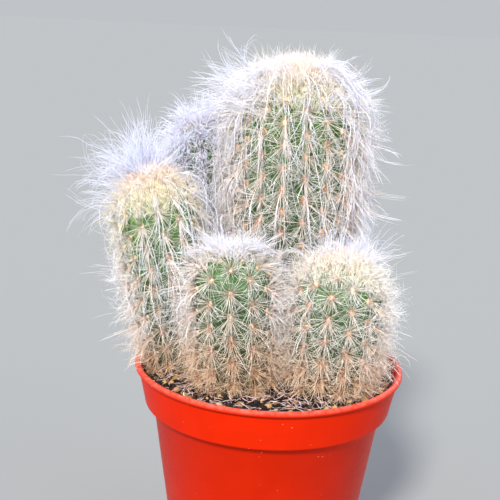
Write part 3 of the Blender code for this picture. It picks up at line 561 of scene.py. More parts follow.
# fine single hairs all over, between the spines
finePile = dict(run=(0.07, 0.97), length=(8, 17), rise=(-75, 60), comb=(0, 0, -0.15), droop=(0, 0.7),
                standOff=(1.5, 5), curl=80, spread=(0.5, 0.5), segments=4, whiten=0.6,
                windows=[(90, 80, 0.5)])
hairKinds = {
    "tall": {
        "tuft": [
            # over the dome
            dict(locks=95, hairs=7, run=(0.08, 0.72), length=(7, 15), rise=(5, 80), comb=(0, 0.15, 0),
                 droop=(-0.1, 0.5), standOff=(1, 6), curl=70, spread=(1.3, 0.4), segments=4, width=0.15,
                 tone=(0.9, 1), windows=[(-90, 55, 0.3)]),
            # thick, on the shoulders
            dict(locks=175, hairs=6, run=(0.5, 1.25), length=(9, 20), rise=(-20, 45), comb=(0, 0.1, 0.05),
                 droop=(-0.1, 0.6), standOff=(2, 7), curl=75, wave=0.2, spread=(1.2, 0.5), segments=5,
                 width=0.15, tone=(0.9, 1), windows=[(-90, 42, 0.1), (90, 40, 0.6), (0, 35, 0.5)]),
            # long, out to the left
            dict(crownHair, locks=54, hairs=7, run=(0.6, 1.4), length=(18, 32), rise=(-5, 32),
                 comb=(0, 0, 0.05), droop=(0, 0.5), windows=[(0, 142, 0)]),
            # out to the right
            dict(crownHair, locks=46, hairs=5, run=(0.95, 1.75), length=(14, 25), rise=(-40, 18),
                 droop=(0.1, 0.6), segments=5, windows=[(180, 140, 0)]),
        ],
        "side": [
            # combed down from the crown
            dict(locks=80, hairs=4, run=(0.02, 0.2), length=(16, 32), rise=(-85, -45), comb=(0, 0, -0.6),
                 droop=(1, 2), standOff=(3, 6), cling=1.1, flare=0.2, curl=35, wave=0.2, spread=(1.2, 0.35),
                 segments=8, width=0.2, tone=(0.9, 1), windows=[(-90, 34, 0.1), (90, 45, 0.4)]),
            # along the flanks
            dict(locks=110, hairs=4, run=(0.12, 0.6), length=(14, 28), rise=(-65, -25), comb=(0, 0, -0.15),
                 droop=(0, 0.5), standOff=(2, 5), curl=50, wave=0.15, spread=(1.2, 0.45), width=0.2,
                 tone=(0.3, 1), windows=[(-90, 42, 0.05), (90, 45, 0.5)]),
            # more on the right flank
            dict(locks=66, hairs=4, run=(0.25, 0.65), length=(16, 32), rise=(-60, -15), comb=(0, 0, -0.15),
                 droop=(0.1, 0.8), standOff=(2, 6), curl=60, wave=0.15, spread=(1.2, 0.45), width=0.19,
                 windows=[(180, 125, 0)]),
            dict(hangingStrand, locks=400, run=(0.02, 0.42), length=(18, 50), comb=(0, 0, -0.6),
                 droop=(0.9, 1.8), standOff=(4, 7.5), cling=1.1, flare=0.15, width=0.26,
                 windows=[(-90, 36, 0.3), (90, 45, 0.3)]),
            # wavy bright strands
            dict(locks=40, hairs=4, run=(0.05, 0.5), length=(20, 44), rise=(-85, -40), comb=(0, 0, -0.5),
                 droop=(0.7, 1.6), standOff=(4, 7), cling=1.2, curl=70, wave=0.6, spread=(0.25, 0.4),
                 segments=11, width=0.22, tone=(1, 1)),
            # standing out at the left
            dict(locks=60, hairs=2, run=(0.2, 0.7), length=(14, 30), rise=(-70, 0), comb=(0, 0, -0.3),
                 droop=(0.4, 1.2), standOff=(5, 10), curl=70, wave=0.2, spread=(0.9, 0.6), segments=7,
                 width=0.2, windows=[(30, 130, 0)]),
            # short, all over
            dict(locks=140, hairs=2, run=(0.12, 0.95), length=(8, 18), rise=(-70, 10), comb=(0, 0, -0.3),
                 droop=(0.4, 1.2), standOff=(4, 10), cling=1.5, curl=80, spread=(0.8, 1.4), segments=5,
                 width=0.2, windows=[(-90, 40, 0.2), (90, 45, 0.3)]),
            # loose curls
            dict(locks=150, run=(0.1, 0.85), length=(8, 16), rise=(-30, 40), droop=(0.1, 0.9),
                 standOff=(6, 13), curl=150, segments=8, windows=[(-90, 45, 0.3), (90, 40, 0.3)]),
            dict(finePile, locks=1250, length=(9, 20), width=0.16, whiten=0.35, tone=(0, 0.7),
                 windows=[(90, 80, 0.4)]),
        ],
    },
    "left": {
        "tuft": [
            # the upright tuft
            dict(locks=82, hairs=3, run=(0, 0.3), length=(15, 31), rise=(50, 89), comb=(-0.1, 0.2, 0.3),
                 droop=(-0.2, 0.2), standOff=(1, 7), curl=60, wave=0.3, spread=(1.3, 1.2), segments=8,
                 width=0.14, windows=[(-60, 75, 0.03)]),
            # leaning out to the left
            dict(locks=46, hairs=3, run=(0, 0.35), length=(18, 36), rise=(5, 50), comb=(-0.4, 0.2, 0.1),
                 droop=(0, 0.4), standOff=(1, 7), curl=80, wave=0.35, spread=(1.3, 1.4), segments=9,
                 width=0.13, windows=[(-60, 75, 0.03)]),
            # short and dense
            dict(locks=90, hairs=4, run=(0, 0.35), length=(7, 16), rise=(30, 85), comb=(-0.1, 0.35, 0.1),
                 droop=(0, 0.25), standOff=(1, 6), curl=45, spread=(0.9, 1.2), segments=5,
                 windows=[(-60, 75, 0.05)]),
            # long loose curls
            dict(locks=60, run=(0, 0.5), length=(20, 36), rise=(-20, 70), comb=(-0.5, 0.1, 0),
                 droop=(0, 0.8), standOff=(2, 9), curl=130, segments=10, width=0.15,
                 windows=[(-30, 90, 0.02)]),
        ],
        "side": [
            # the fan that falls to the left
            dict(locks=55, hairs=3, run=(0.04, 0.24), length=(15, 32), rise=(-15, 45),
                 comb=(-0.35, 0, 0.05), droop=(0.6, 2.2), standOff=(5, 13), curl=110, wave=0.3,
                 spread=(1.2, 1.2), segments=9, width=0.15, windows=[(0, 130, 0.02)]),
            dict(hangingStrand, locks=210, run=(0.06, 0.5), comb=(0.25, 0, -0.5), droop=(0.7, 1.5),
                 cling=1.2, width=0.24, windows=[(180, 75, 0.15)]),
            # wavy bright strands
            dict(locks=12, hairs=6, run=(0.08, 0.4), length=(22, 44), rise=(-85, -40), comb=(0.3, 0, -0.6),
                 droop=(0.8, 1.7), standOff=(4, 7), cling=1.3, curl=60, wave=0.5, spread=(0.25, 0.45),
                 segments=12, windows=[(180, 90, 0.1)]),
            # short, all over
            dict(locks=330, hairs=2, run=(0.15, 1), length=(5, 10), rise=(-70, 20), comb=(0, 0, -0.3),
                 droop=(0.4, 1.2), standOff=(2, 4.5), cling=1.2, curl=70, spread=(0.7, 1), segments=4,
                 whiten=0.6, windows=[(-80, 30, 0.4)]),
            # low on the outer side
            dict(locks=150, hairs=2, run=(0.4, 0.97), length=(11, 22), rise=(-50, 40), comb=(-0.2, 0, -0.2),
                 droop=(0.2, 1.2), standOff=(3, 8), curl=120, spread=(0.9, 0.9), width=0.15,
                 windows=[(0, 115, 0.02)]),
            # loose curls
            dict(locks=60, run=(0.15, 1), length=(8, 18), rise=(-60, 30), comb=(-0.05, 0, 0),
                 droop=(0.3, 1.4), standOff=(4, 9), curl=150, segments=8, windows=[(-60, 60, 0.2)]),
            dict(finePile, locks=950, length=(8, 18), standOff=(1.5, 4.5), cling=1.3, whiten=0.7,
                 tone=(0.2, 1)),
        ],
    },
    "back": {
        "tuft": [
            # upright
            dict(locks=120, hairs=4, run=(0, 0.5), length=(9, 17), rise=(20, 80), comb=(0, 0.1, 0.2),
                 droop=(0, 0.3), standOff=(1, 6), curl=60, spread=(1.1, 0.8), segments=5),
            # over the shoulders
            dict(locks=200, hairs=4, run=(0.2, 1.3), length=(7, 14), rise=(-30, 50), comb=(0, 0, 0.1),
                 droop=(0, 0.9), standOff=(1, 5), curl=70, spread=(1.1, 0.8), segments=4, width=0.2,
                 windows=[(90, 60, 0.4)]),
        ],
        "side": [
            dict(hangingStrand, locks=210, run=(0.04, 0.5), length=(18, 42), rise=(-75, -25),
                 comb=(0, 0, -0.4), droop=(0.5, 1.3), cling=1.3, curl=45, segments=11, width=0.21,
                 tone=(0.75, 1), windows=[(90, 60, 0.7)]),
            # short, all over
            dict(locks=320, hairs=2, run=(0.1, 0.8), length=(8, 18), rise=(-60, 30), comb=(0, 0, -0.3),
                 droop=(0.3, 1.2), standOff=(3, 7), curl=80, spread=(0.7, 1.2), segments=4,
                 windows=[(90, 50, 0.9)]),
            # a close coat
            dict(locks=3300, run=(0.08, 0.66), length=(6, 13), rise=(-75, 60), comb=(0, 0, 0.05),
                 droop=(-0.4, 0.6), standOff=(1.5, 4.5), cling=1.3, curl=70, spread=(2.2, 0.8), segments=2,
                 width=0.32, windows=[(90, 100, 0.15)]),
        ],
    },
    "front": {
        "tuft": [
            # the short cap
            dict(locks=300, hairs=4, run=(0, 0.4), length=(5, 10), rise=(15, 85), comb=(0, 0.05, 0),
                 droop=(0.2, 0.9), standOff=(0.5, 3.5), curl=60, spread=(0.7, 1.2), segments=4,
                 tone=(0.95, 1), windows=[(-90, 50, 0.8)]),
            # longer, all round but at the front
            dict(locks=130, hairs=3, run=(0, 0.5), length=(11, 22), rise=(-5, 55), comb=(0, 0.1, 0.1),
                 droop=(0.2, 1), standOff=(1, 6), curl=70, wave=0.2, spread=(0.9, 0.9), tone=(0.95, 1),
                 windows=[(-90, 50, 0.12)]),
        ],
        "side": [
            dict(sideLock, locks=180, width=0.2, windows=[(-90, 58, 0.12)]),
            dict(puffLock, locks=130, run=(0.1, 0.5), windows=[(-90, 55, 0.02), (90, 60, 0.3)]),
            dict(footMat, locks=1500, run=(0.6, 1)),
            dict(finePile, locks=850, width=0.13),
        ],
    },
    "right": {
        "tuft": [
            # long and airy, back and right
            dict(locks=58, hairs=4, run=(0, 0.45), length=(13, 25), rise=(5, 85), comb=(0.2, 0.35, 0.15),
                 droop=(0, 0.4), standOff=(1, 7), curl=80, wave=0.3, spread=(0.9, 1.9), segments=8,
                 width=0.12, windows=[(-100, 75, 0.04)]),
            # short and dense
            dict(locks=105, hairs=3, run=(0, 0.5), length=(6, 14), rise=(20, 85), comb=(0.1, 0.3, 0.1),
                 droop=(0, 0.3), standOff=(1, 6), curl=60, spread=(0.9, 1.5), segments=5, width=0.14,
                 windows=[(-100, 70, 0.35)]),
        ],
        "side": [
            dict(sideLock, locks=190, width=0.19, windows=[(-90, 58, 0.15)]),
            dict(puffLock, locks=90, run=(0.08, 0.45), comb=(-0.1, 0, 0), windows=[(0, 130, 0.05)]),
            dict(footMat, locks=1400, run=(0.66, 1)),
            # loose curls
            dict(locks=170, run=(0.03, 0.9), length=(10, 24), rise=(-20, 50), comb=(0.15, 0.1, 0),
                 droop=(0, 0.5), standOff=(5, 12), curl=190, segments=9, width=0.11,
                 windows=[(-100, 55, 0.05)]),
            dict(finePile, locks=1150, cling=1.3, width=0.15),
        ],
    },
}
# the gaps that hair keeps, in mm, and how much it varies; hangLow is the lowest that it hangs outside the pot
hairForm = {"stemGap": 2.2, "skinGap": 0.6, "soilGap": 1.0, "lipGap": 0.5, "boxMargin": 7.0, "hangLow": 60,
            "windowEdge": 14, "startScatter": 0.35, "stepScatter": 0.07, "cut": (0.6, 1.0), "wander": 0.2,
            "waveLength": 5.5, "wavePace": (0.7, 1.4), "taper": 0.5, "widthScatter": 0.25}
# reach and rise of each cushion, in mm
cushionSpec = {"tall": (4.2, 2.2), "left": (4, 2.5), "back": (3.5, 2.5), "front": (5, 3), "right": (4.5, 2.5)}


def keepOut(points, stem):
    # clear of the other stems, above the soil and the lip, and inside the box that the CAD gives
    for other in stems.values():
        if other is not stem:
            gap, out = other.clearance(points)
            points = points + out * np.clip(hairForm["stemGap"] * mm - gap, 0, None)[:, None]
    reach = np.linalg.norm(points[:, :2], axis=1)
    overLip = (reach > soilRadius - 1 * mm) & (reach < lipRadius + 1 * mm)
    overSoil = soilLevel + hairForm["soilGap"] * mm
    lowest = np.where(reach < lipRadius, overSoil, hairForm["hangLow"] * mm)
    lowest = np.where(overLip, potHeight + hairForm["lipGap"] * mm, lowest)
    points[:, 2] = np.maximum(points[:, 2], lowest)
    margin = hairForm["boxMargin"] * mm
    return np.clip(points, np.array(cadBox[0]) - margin, np.array(cadBox[1]) + margin)


def openShare(azimuth, windows):
    # the share of the hair that is kept at an azimuth (degrees)
    kept = np.ones(len(azimuth))
    for middle, halfWidth, low in windows:
        away = np.abs((azimuth - middle + 180) % 360 - 180)
        kept *= low + (1 - low) * np.clip((away - halfWidth) / hairForm["windowEdge"] + 0.5, 0, 1)
    return kept


def turned(ways, axes, angles):
    # each way swung about its unit axis
    c, s = np.cos(angles)[:, None], np.sin(angles)[:, None]
    return ways * c + np.cross(axes, ways) * s + axes * np.sum(axes * ways, axis=1)[:, None] * (1 - c)


def rootGuides(stem, sort, kind, rng):
    # where the guides start, which way they set out, and how far from the tip, thinned by the windows
    tries = kind["locks"] * 6
    low, high = kind["run"]
    rise = np.radians(rng.uniform(*kind["rise"], tries))[:, None]
    if sort == "tuft":
        heading = rng.uniform(-math.pi, math.pi, tries)
        run = stem.radius * np.sqrt(low**2 + (high**2 - low**2) * rng.random(tries))
        angle = heading + rng.normal(size=tries) * 0.6
    else:
        areoleAngle, areoleRun = stem.areoles()
        inside = (areoleRun >= low * stem.skinLength) & (areoleRun <= high * stem.skinLength)
        pick = rng.integers(0, inside.sum(), tries)
        angle, run = areoleAngle[inside][pick], areoleRun[inside][pick]
    root, normal = stem.skin(angle, run, stem.ribLift(angle, run) + 0.1 * mm)
    if sort == "tuft":
        out = np.stack([np.cos(heading), np.sin(heading), np.zeros(tries)], axis=1)
        way = out * np.cos(rise) + up * np.sin(rise)
        azimuth = np.degrees(np.arctan2(way[:, 1], way[:, 0]))
    else:
        scatter = rng.normal(size=(tries, 3)) * hairForm["startScatter"]
        way = normal * np.cos(rise) - stem.downRib(angle, run) * np.sin(rise) + scatter
        azimuth = np.degrees(angle)
    keep = np.flatnonzero(rng.random(tries) < openShare(azimuth, kind["windows"]))[:kind["locks"]]
    return root[keep], unit(way[keep] + np.array(kind["comb"])), run[keep]


def growGuides(stem, sort, kind, rng):
    root, way, run = rootGuides(stem, sort, kind, rng)
    count, segments = len(root), kind["segments"]
    length = rng.uniform(*kind["length"], count) * mm
    droop = rng.uniform(*kind["droop"], count)[:, None] / segments
    standOff = rng.uniform(*kind["standOff"], count) * mm
    farthest = standOff * kind["cling"]
    curlAxis = unit(np.cross(way, randomUnit(rng, count)))
    curl = np.radians(kind["curl"]) * rng.normal(size=count) / segments
    path = [root]
    for index in range(segments):
        share = (index + 1) / segments
        flare = kind["flare"] * share**2
        way = unit(way - up * droop * 2 * share)
        way = turned(way, curlAxis, curl * 2 * share)
        way = unit(way + rng.normal(size=(count, 3)) * hairForm["stepScatter"])
        point = path[-1] + way * (length / segments)[:, None]
        gap, out = stem.clearance(point)
        wantedGap = np.minimum(standOff, 1.0 * mm + 0.6 * length * share)
        point = point + out * np.clip(wantedGap - gap, 0, None)[:, None]
        point = point - out * np.clip(gap - farthest * (1 + 2 * flare), 0, None)[:, None] * 0.6
        point = keepOut(point, stem)
        way = unit(unit(point - path[-1]) + way * 0.3 + out * flare)
        path.append(point)
    return np.stack(path, axis=1), stem.age(run)


def growLocks(stem, sort, kind, rng):
    # the hairs of one kind round their guides, cut to different lengths, each a little wavy
    kind, form = dict(hairBasics, **kind), hairForm
    guides, age = growGuides(stem, sort, kind, rng)
    which = np.repeat(np.arange(len(guides)), kind["hairs"])
    count, steps = len(which), guides.shape[1]
    cut = rng.uniform(*form["cut"], count)[:, None] * np.linspace(0, steps - 1, steps)[None]
    low = np.minimum(cut.astype(int), steps - 2)
    rest = (cut - low)[..., None]
    base = guides[which]
    rows = np.arange(count)[:, None]
    paths = base[rows, low] * (1 - rest) + base[rows, low + 1] * rest
    rootSpread, tipSpread = kind["spread"]
    share = np.linspace(0, 1, steps)[None, :, None]
    offset = rng.normal(size=(count, 1, 3)) * (rootSpread * (1 - share) * 0.5 + tipSpread * share) * mm
    wander = np.cumsum(rng.normal(size=(count, steps, 3)), axis=1) * form["wander"] * mm * share
    paths = paths + offset + wander
    if kind["wave"]:
        length = np.linalg.norm(np.diff(paths, axis=1), axis=2).sum(axis=1)[:, None]
        pace = rng.uniform(*form["wavePace"], len(guides))[which, None]
        phase = rng.uniform(0, 6.3, len(guides))[which, None]
        turn = 2 * math.pi * length * share[..., 0] / (form["waveLength"] * mm) * pace
        bend = np.sin(turn + phase)[..., None] * randomUnit(rng, len(guides))[which][:, None]
        paths = paths + bend * kind["wave"] * mm * np.minimum(1, 3 * share)
    gap, out = stem.clearance(paths.reshape(-1, 3))
    lift = np.clip(form["skinGap"] * mm - gap, 0, 3 * mm)[:, None] * out
    paths[:, 1:] += lift.reshape(count, steps, 3)[:, 1:]
    paths[:, 1:] = keepOut(paths[:, 1:].reshape(-1, 3), stem).reshape(count, steps - 1, 3)
    taper = 1 - form["taper"] * np.linspace(0, 1, steps)[:-1]
    radii = kind["width"] / 2 * mm * taper[None] * np.exp(rng.normal(0, form["widthScatter"], (count, 1)))
    tone = rng.uniform(*kind["tone"], count)
    points, faces, shades = tubes(paths, radii, {"age": age[which], "tone": tone}, rng)
    shades["along"] = shades["along"] * kind["whiten"]
    return points, faces, shades


def cushion(stem, rng):
    # the low mound of matted new wool in the growing point, under the tuft
    shape, faces = ballShape(3)
    reach, rise = (value * mm for value in cushionSpec[stem.name])
    axis = stem.axis(np.array([stem.length]))[0]
    side = unit(np.cross(axis, [0.0, 1.0, 0.0]))
    rough = 1 + 0.1 * rng.normal(size=(len(shape), 1))
    local = shape * rough * np.array([reach, reach, rise])
    points = stem.tip + local[:, :1] * side + local[:, 1:2] * np.cross(axis, side) + local[:, 2:] * axis
    return points, faces, {"age": np.zeros(len(points)), "tone": rng.random(len(points)),
                           "along": np.full(len(points), 0.6)}


def buildHair(stem, rng):
    # the back stem's hair takes the copy with painted shade
    material = paintedShadeHair if stem.name == "back" else silkyHair
    for sort, pieceName in (("side", "hair"), ("tuft", "tuft")):
        parts = [growLocks(stem, sort, kind, rng) for kind in hairKinds[stem.name][sort]]
        mound = cushion(stem, rng)  # drawn in both rounds, and kept in the tuft's
        if sort == "tuft":
            parts.append(mound)
        piece = meshPiece(f"{pieceName}_{stem.name}", joined(parts), material)
        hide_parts(f"wool_{stem.name}")


for number, (name, stem) in enumerate(stems.items()):
    print("stem", name)
    rng = np.random.default_rng(100 + number)
    buildSkin(stem)
    buildAreoles(stem, rng)
    buildSpines(stem, rng)
    buildHair(stem, rng)

# injection-moulded polypropylene: even orange-red with a soft gloss, scuffed pale along the lip with a
# painted highlight there, and specked with dust in patches; sizes in mm
potLook = {"colour": "#D02403", "deep": "#CA2202", "scuffAndHighlightColour": "#F09A88", "speck": "#E8B8A8",
           "grainSize": 2.0, "patchSize": 9.0, "speckGap": 3.2, "scuffedAndHighlitLip": (1.6, 0.2),
           "roughness": (0.3, 0.46)}
potSpec = {"lipHeight": 2.4, "lipRound": 1.2, "collarHeight": 16.3, "collarTop": 51.2, "collarFoot": 48.5,
           "collarRound": 0.7, "bodyTop": 45.2, "base": 34.0, "baseRound": 1.0, "wall": 1.2, "footRing": 2.5,
           "footHeight": 1.5, "floorRound": 1.2, "pad": 11.0, "steps": 128,
           "holes": 6, "holeRadius": 3.0, "holeCircle": 21.0}


def potMaterial():
    material, tree, shader = newMaterial("moulded polypropylene", {"IOR": 1.49, "Specular IOR Level": 0.05})
    place = addNode(tree, "TexCoord").outputs["Object"]
    grain = addNode(tree, "TexNoise", {
        "Vector": place, "Scale": 1 / (potLook["grainSize"] * mm), "Detail": 4.0}).outputs["Fac"]
    patches = addNode(tree, "TexNoise", {
        "Vector": place, "Scale": 1 / (potLook["patchSize"] * mm)}).outputs["Fac"]
    specks = addNode(tree, "TexVoronoi", {"Vector": place, "Scale": 1 / (potLook["speckGap"] * mm)})
    speckMask = addNode(tree, "MapRange", {
        "Value": specks.outputs["Distance"], "From Min": 0.06, "From Max": 0.03})
    dusty = addNode(tree, "MapRange", {"Value": patches, "From Min": 0.44, "From Max": 0.54})
    speckAmount = addNode(tree, "Math", {0: speckMask.outputs[0], 1: dusty.outputs[0]}, operation="MULTIPLY")
    height = addNode(tree, "SeparateXYZ", {"Vector": place})
    # the pale band along the top of the lip is partly scuffing and partly a painted highlight
    low, high = (potHeight - drop * mm for drop in potLook["scuffedAndHighlitLip"])
    lipMask = addNode(tree, "MapRange", {"Value": height.outputs["Z"], "From Min": low, "From Max": high})
    grainScuffAndHighlight = addNode(tree, "MapRange", {"Value": grain, "From Min": 0.2, "From Max": 0.8, "To Max": 0.5})
    lipScuffAndHighlight = addNode(tree, "Math", {0: lipMask.outputs[0], 1: grainScuffAndHighlight.outputs[0]}, operation="MULTIPLY")
    tone = addNode(tree, "ValToRGB", {"Fac": patches}, [(0.3, potLook["deep"]), (0.7, potLook["colour"])])
    colour = tone.outputs["Color"]
    for amount, over in ((lipScuffAndHighlight, "scuffAndHighlightColour"), (speckAmount, "speck")):
        colour = addNode(tree, "Mix", {"Factor": amount.outputs[0], 6: colour, 7: linear(potLook[over])},
                         data_type="RGBA").outputs[2]
    tree.links.new(colour, shader.inputs["Base Color"])
    low, high = potLook["roughness"]
    rough = addNode(tree, "MapRange", {"Value": grain, "To Min": low, "To Max": high})
    tree.links.new(rough.outputs[0], shader.inputs["Roughness"])
    bump = addNode(tree, "Bump", {"Height": grain, "Strength": 0.12, "Distance": 0.1 * mm})
    tree.links.new(bump.outputs[0], shader.inputs["Normal"])
    return material


def arc(x, z, radius, startTurn, endTurn, count):
    turns = np.linspace(math.radians(startTurn), math.radians(endTurn), count)
    return [(x + radius * math.cos(t), z + radius * math.sin(t)) for t in turns]


def potProfile():
    # (radius, height) in mm: along the inside from the middle of the base to the lip, and down the outside
    s = potSpec
    wall, foot, lipRound = s["wall"], s["footHeight"], s["lipRound"]
    height = potHeight / mm
    step = height - s["collarHeight"]
    slope = (s["bodyTop"] - s["base"]) / step
    cornerX, innerX = s["base"] - wall - 1.0, s["collarFoot"] - wall
    inside = [(0, foot + wall), (cornerX, foot + wall)]
    inside += arc(cornerX, foot + wall + s["floorRound"], s["floorRound"], -80, -8, 5)
    inside += [(s["bodyTop"] - wall, step), (s["bodyTop"] - wall + 0.3, step + wall - 0.3)]
    inside += [(innerX - 0.6, step + wall), (innerX, step + wall + 0.6)]
    inside += [(s["collarTop"] - wall, height - 1.2)]
    outside = arc(s["collarTop"] + 0.3, height - s["lipHeight"] / 2, lipRound, 165, -70, 12)
    outside += [(s["collarTop"] + 0.02, height - s["lipHeight"] - 0.25), (s["collarFoot"] + 0.06, step + 0.9)]
    outside += arc(s["collarFoot"] - s["collarRound"], step + s["collarRound"], s["collarRound"], -5, -90, 5)
    outside += [(s["bodyTop"] + 0.5, step), (s["bodyTop"], step - 0.5), (s["base"] + slope * 1.4, 1.4)]
    outside += arc(s["base"] - 0.9, s["baseRound"], s["baseRound"], 5, -90, 5)
    ring = s["base"] - s["footRing"]
    outside += [(ring, 0), (ring - 0.5, foot), (s["pad"] + 0.5, foot), (s["pad"], 0), (0, 0)]
    return inside + outside


def applyModifiers(item):
    bpy.context.view_layer.update()
    item.data = bpy.data.meshes.new_from_object(item.evaluated_get(bpy.context.evaluated_depsgraph_get()))
    item.modifiers.clear()


def buildPot():
    s = potSpec
    profile = potProfile()
    mesh = bpy.data.meshes.new("pot_line")
    edges = [(i, i + 1) for i in range(len(profile) - 1)]
    mesh.from_pydata([(x * mm, 0, z * mm) for x, z in profile], edges, [])
    pot = bpy.data.objects.new("planter", mesh)
    bpy.context.scene.collection.objects.link(pot)
    turn = pot.modifiers.new("turn", "SCREW")
    turn.steps = turn.render_steps = s["steps"]
    turn.use_merge_vertices = True
    turn.merge_threshold = 0.00001
    applyModifiers(pot)
    drills = []
    for index in range(s["holes"]):
        angle = index * 2 * math.pi / s["holes"]
        place = (s["holeCircle"] * mm * math.cos(angle), s["holeCircle"] * mm * math.sin(angle), 2.7 * mm)
        bpy.ops.mesh.primitive_cylinder_add(
            vertices=32, radius=s["holeRadius"] * mm, depth=8 * mm, location=place)
        drills.append(bpy.context.object)
        cut = pot.modifiers.new("hole", "BOOLEAN")
        cut.operation = "DIFFERENCE"
        cut.object = drills[-1]
        cut.solver = "EXACT"
    applyModifiers(pot)
    for drill in drills:
        bpy.data.objects.remove(drill)
    pot.data.materials.clear()
    pot.data.materials.append(potMaterial())
    pot.data.shade_smooth()
    pot.data.set_sharp_from_angle(angle=math.radians(50))
    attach(pot, "root")
    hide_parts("pot")
    print("   pot", len(pot.data.polygons), "faces")


print("pot")
buildPot()

# sizes in mm; relief is the height of the crumbly waves
soilSpec = {"columns": 128, "gridStep": 2.0, "depth": 10, "relief": 0.495,
            "crumbs": 1700, "crumbSize": (0.4, 1.5), "grit": 160, "gritSize": (0.6, 2.0),
            "hairs": 620, "hairRadius": (0.1, 0.18), "hairStep": (0.9, 2.0)}


def groundMaterial(name, look):
    # matt mineral or peat: coloured by the tone of each crumb, with a fine grain over it
    material, tree, shader = newMaterial(name, {"Roughness": look["roughness"]})
    tone = addNode(tree, "Attribute", attribute_name="tone")
    place = addNode(tree, "TexCoord").outputs["Object"]
    grain = addNode(tree, "TexNoise", {
        "Vector": place, "Scale": 1 / (look["grainSize"] * mm), "Detail": 4.0}).outputs["Fac"]
    colour = addNode(tree, "ValToRGB", {"Fac": tone.outputs["Fac"]}, look["tones"]).outputs["Color"]
    level = addNode(tree, "MapRange", {
        "Value": grain, "From Min": 0.3, "From Max": 0.7, "To Min": 0.65, "To Max": 1.25}).outputs[0]
    shaded = addNode(tree, "VectorMath", {0: colour, 1: level}, operation="MULTIPLY")
    tree.links.new(shaded.outputs[0], shader.inputs["Base Color"])
    bump = addNode(tree, "Bump", {"Height": grain, "Strength": 0.6, "Distance": look["grainDepth"] * mm})
    tree.links.new(bump.outputs[0], shader.inputs["Normal"])
    return material


# peat and bark fines, crumbled: near black where damp, brown where dry
darkPeat = groundMaterial("crumbly peat", {
    "roughness": 0.95, "grainSize": 0.6, "grainDepth": 0.4,
    "tones": [(0.0, "#080403"), (0.45, "#180C09"), (0.8, "#3A241D"), (1.0, "#8A6458")]})
# crushed stone: broken yellow-brown faces, dull
crushedGrit = groundMaterial("crushed grit", {
    "roughness": 0.85, "grainSize": 0.4, "grainDepth": 0.15,
    "tones": [(0.0, "#7A5430"), (0.4, "#A87E4E"), (0.75, "#C8A478"), (1.0, "#946444")]})
# dead hair shed on the soil: dull, from greyish pink to brown
shedHair = fibreMaterial("shed hair", {
    "roughness": 0.6, "fade": (0.1, 0.8), "tone": (0.75, 1.05),
    "root": [(0.0, "#F2DCDC"), (1.0, "#B08480")], "tip": [(0.0, "#FAEAEC"), (1.0, "#DEBCB6")]})


def soilHeight(x, y):
    # the relief over the mean level: waves of about 15, 6, 4 and 3 mm
    wave = (np.sin(x * 410 + 1.3) * np.cos(y * 370 + 0.4) + 0.6 * np.sin(x * 930 + y * 610)
            + 0.4 * np.cos(y * 1300 - x * 700 + 2.0) + 0.3 * np.sin(x * 2100 + 1.7) * np.sin(y * 2300))
    return soilSpec["relief"] * mm * wave


def scatterSpots(rng, count, margin, edgeBias=0.5):
    # places on the soil that the stems leave free
    spots = np.empty((0, 2))
    while len(spots) < count:
        turn = rng.uniform(0, 2 * math.pi, 4 * count)
        reach = (soilRadius - 1.2 * mm) * rng.random(4 * count) ** edgeBias
        found = np.stack([reach * np.cos(turn), reach * np.sin(turn)], axis=1)
        for stem in stems.values():
            away = np.linalg.norm(found - stem.base[:2], axis=1)
            found = found[away > stem.radius * stem.baseShare + margin * mm]
        spots = np.concatenate([spots, found])
    return spots[:count]


def stones(spots, sizes, sink, rng, detail):
    shape, faces = ballShape(detail)
    count = len(spots)
    dents, stretch = rng.uniform(0.6, 1.15, (count, len(shape), 1)), rng.uniform(0.65, 1.2, (count, 1, 3))
    local = shape[None] * dents * stretch
    first, second = randomUnit(rng, count), randomUnit(rng, count)
    third = unit(np.cross(first, second))
    second = np.cross(third, first)
    tumbled = (local[..., :1] * first[:, None] + local[..., 1:2] * second[:, None]
               + local[..., 2:] * third[:, None])
    x, y = spots[:, 0], spots[:, 1]
    centre = np.stack([x, y, soilLevel + soilHeight(x, y) + sizes * sink], axis=1)
    points = centre[:, None] + tumbled * sizes[:, None, None]
    shades = {"tone": np.repeat(rng.random(count), len(shape))}
    return points.reshape(-1, 3), repeated(faces, len(shape), count), shades


def buildGround(rng):
    rings = int(soilRadius / (soilSpec["gridStep"] * mm))
    columns = soilSpec["columns"]
    points = [(0, 0, soilLevel + soilHeight(np.zeros(1), np.zeros(1))[0])]
    turn = np.arange(columns) * 2 * math.pi / columns
    for ring in range(1, rings + 1):
        reach = soilRadius * ring / rings
        x, y = reach * np.cos(turn), reach * np.sin(turn)
        points += list(zip(x, y, soilLevel + soilHeight(x, y) * min(1, (rings - ring) / 3)))
    foot = soilLevel - soilSpec["depth"] * mm
    points += [(x * 0.97, y * 0.97, foot) for x, y, z in points[-columns:]] + [(0, 0, foot)]
    faces = closedFaces(columns, rings + 1, 1, 0, len(points) - 1)
    tone = np.clip(0.35 + 0.3 * rng.normal(size=len(points)), 0, 0.8)
    ground = meshPiece("potting_soil", (np.array(points), faces, {"tone": tone}), darkPeat)
    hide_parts("soil")


def buildCrumbsAndGrit(rng):
    spots = scatterSpots(rng, soilSpec["crumbs"], -1.5)
    sizes = rng.uniform(*soilSpec["crumbSize"], len(spots)) ** 1.3 * mm
    piece = meshPiece("peat_crumbs", stones(spots, sizes, 0.25, rng, 0), darkPeat)
    spots = scatterSpots(rng, soilSpec["grit"], 0.5, 0.16)
    sizes = rng.uniform(*soilSpec["gritSize"], len(spots)) * mm
    piece = meshPiece("yellow_grit", stones(spots, sizes, 0.3, rng, 1), crushedGrit)


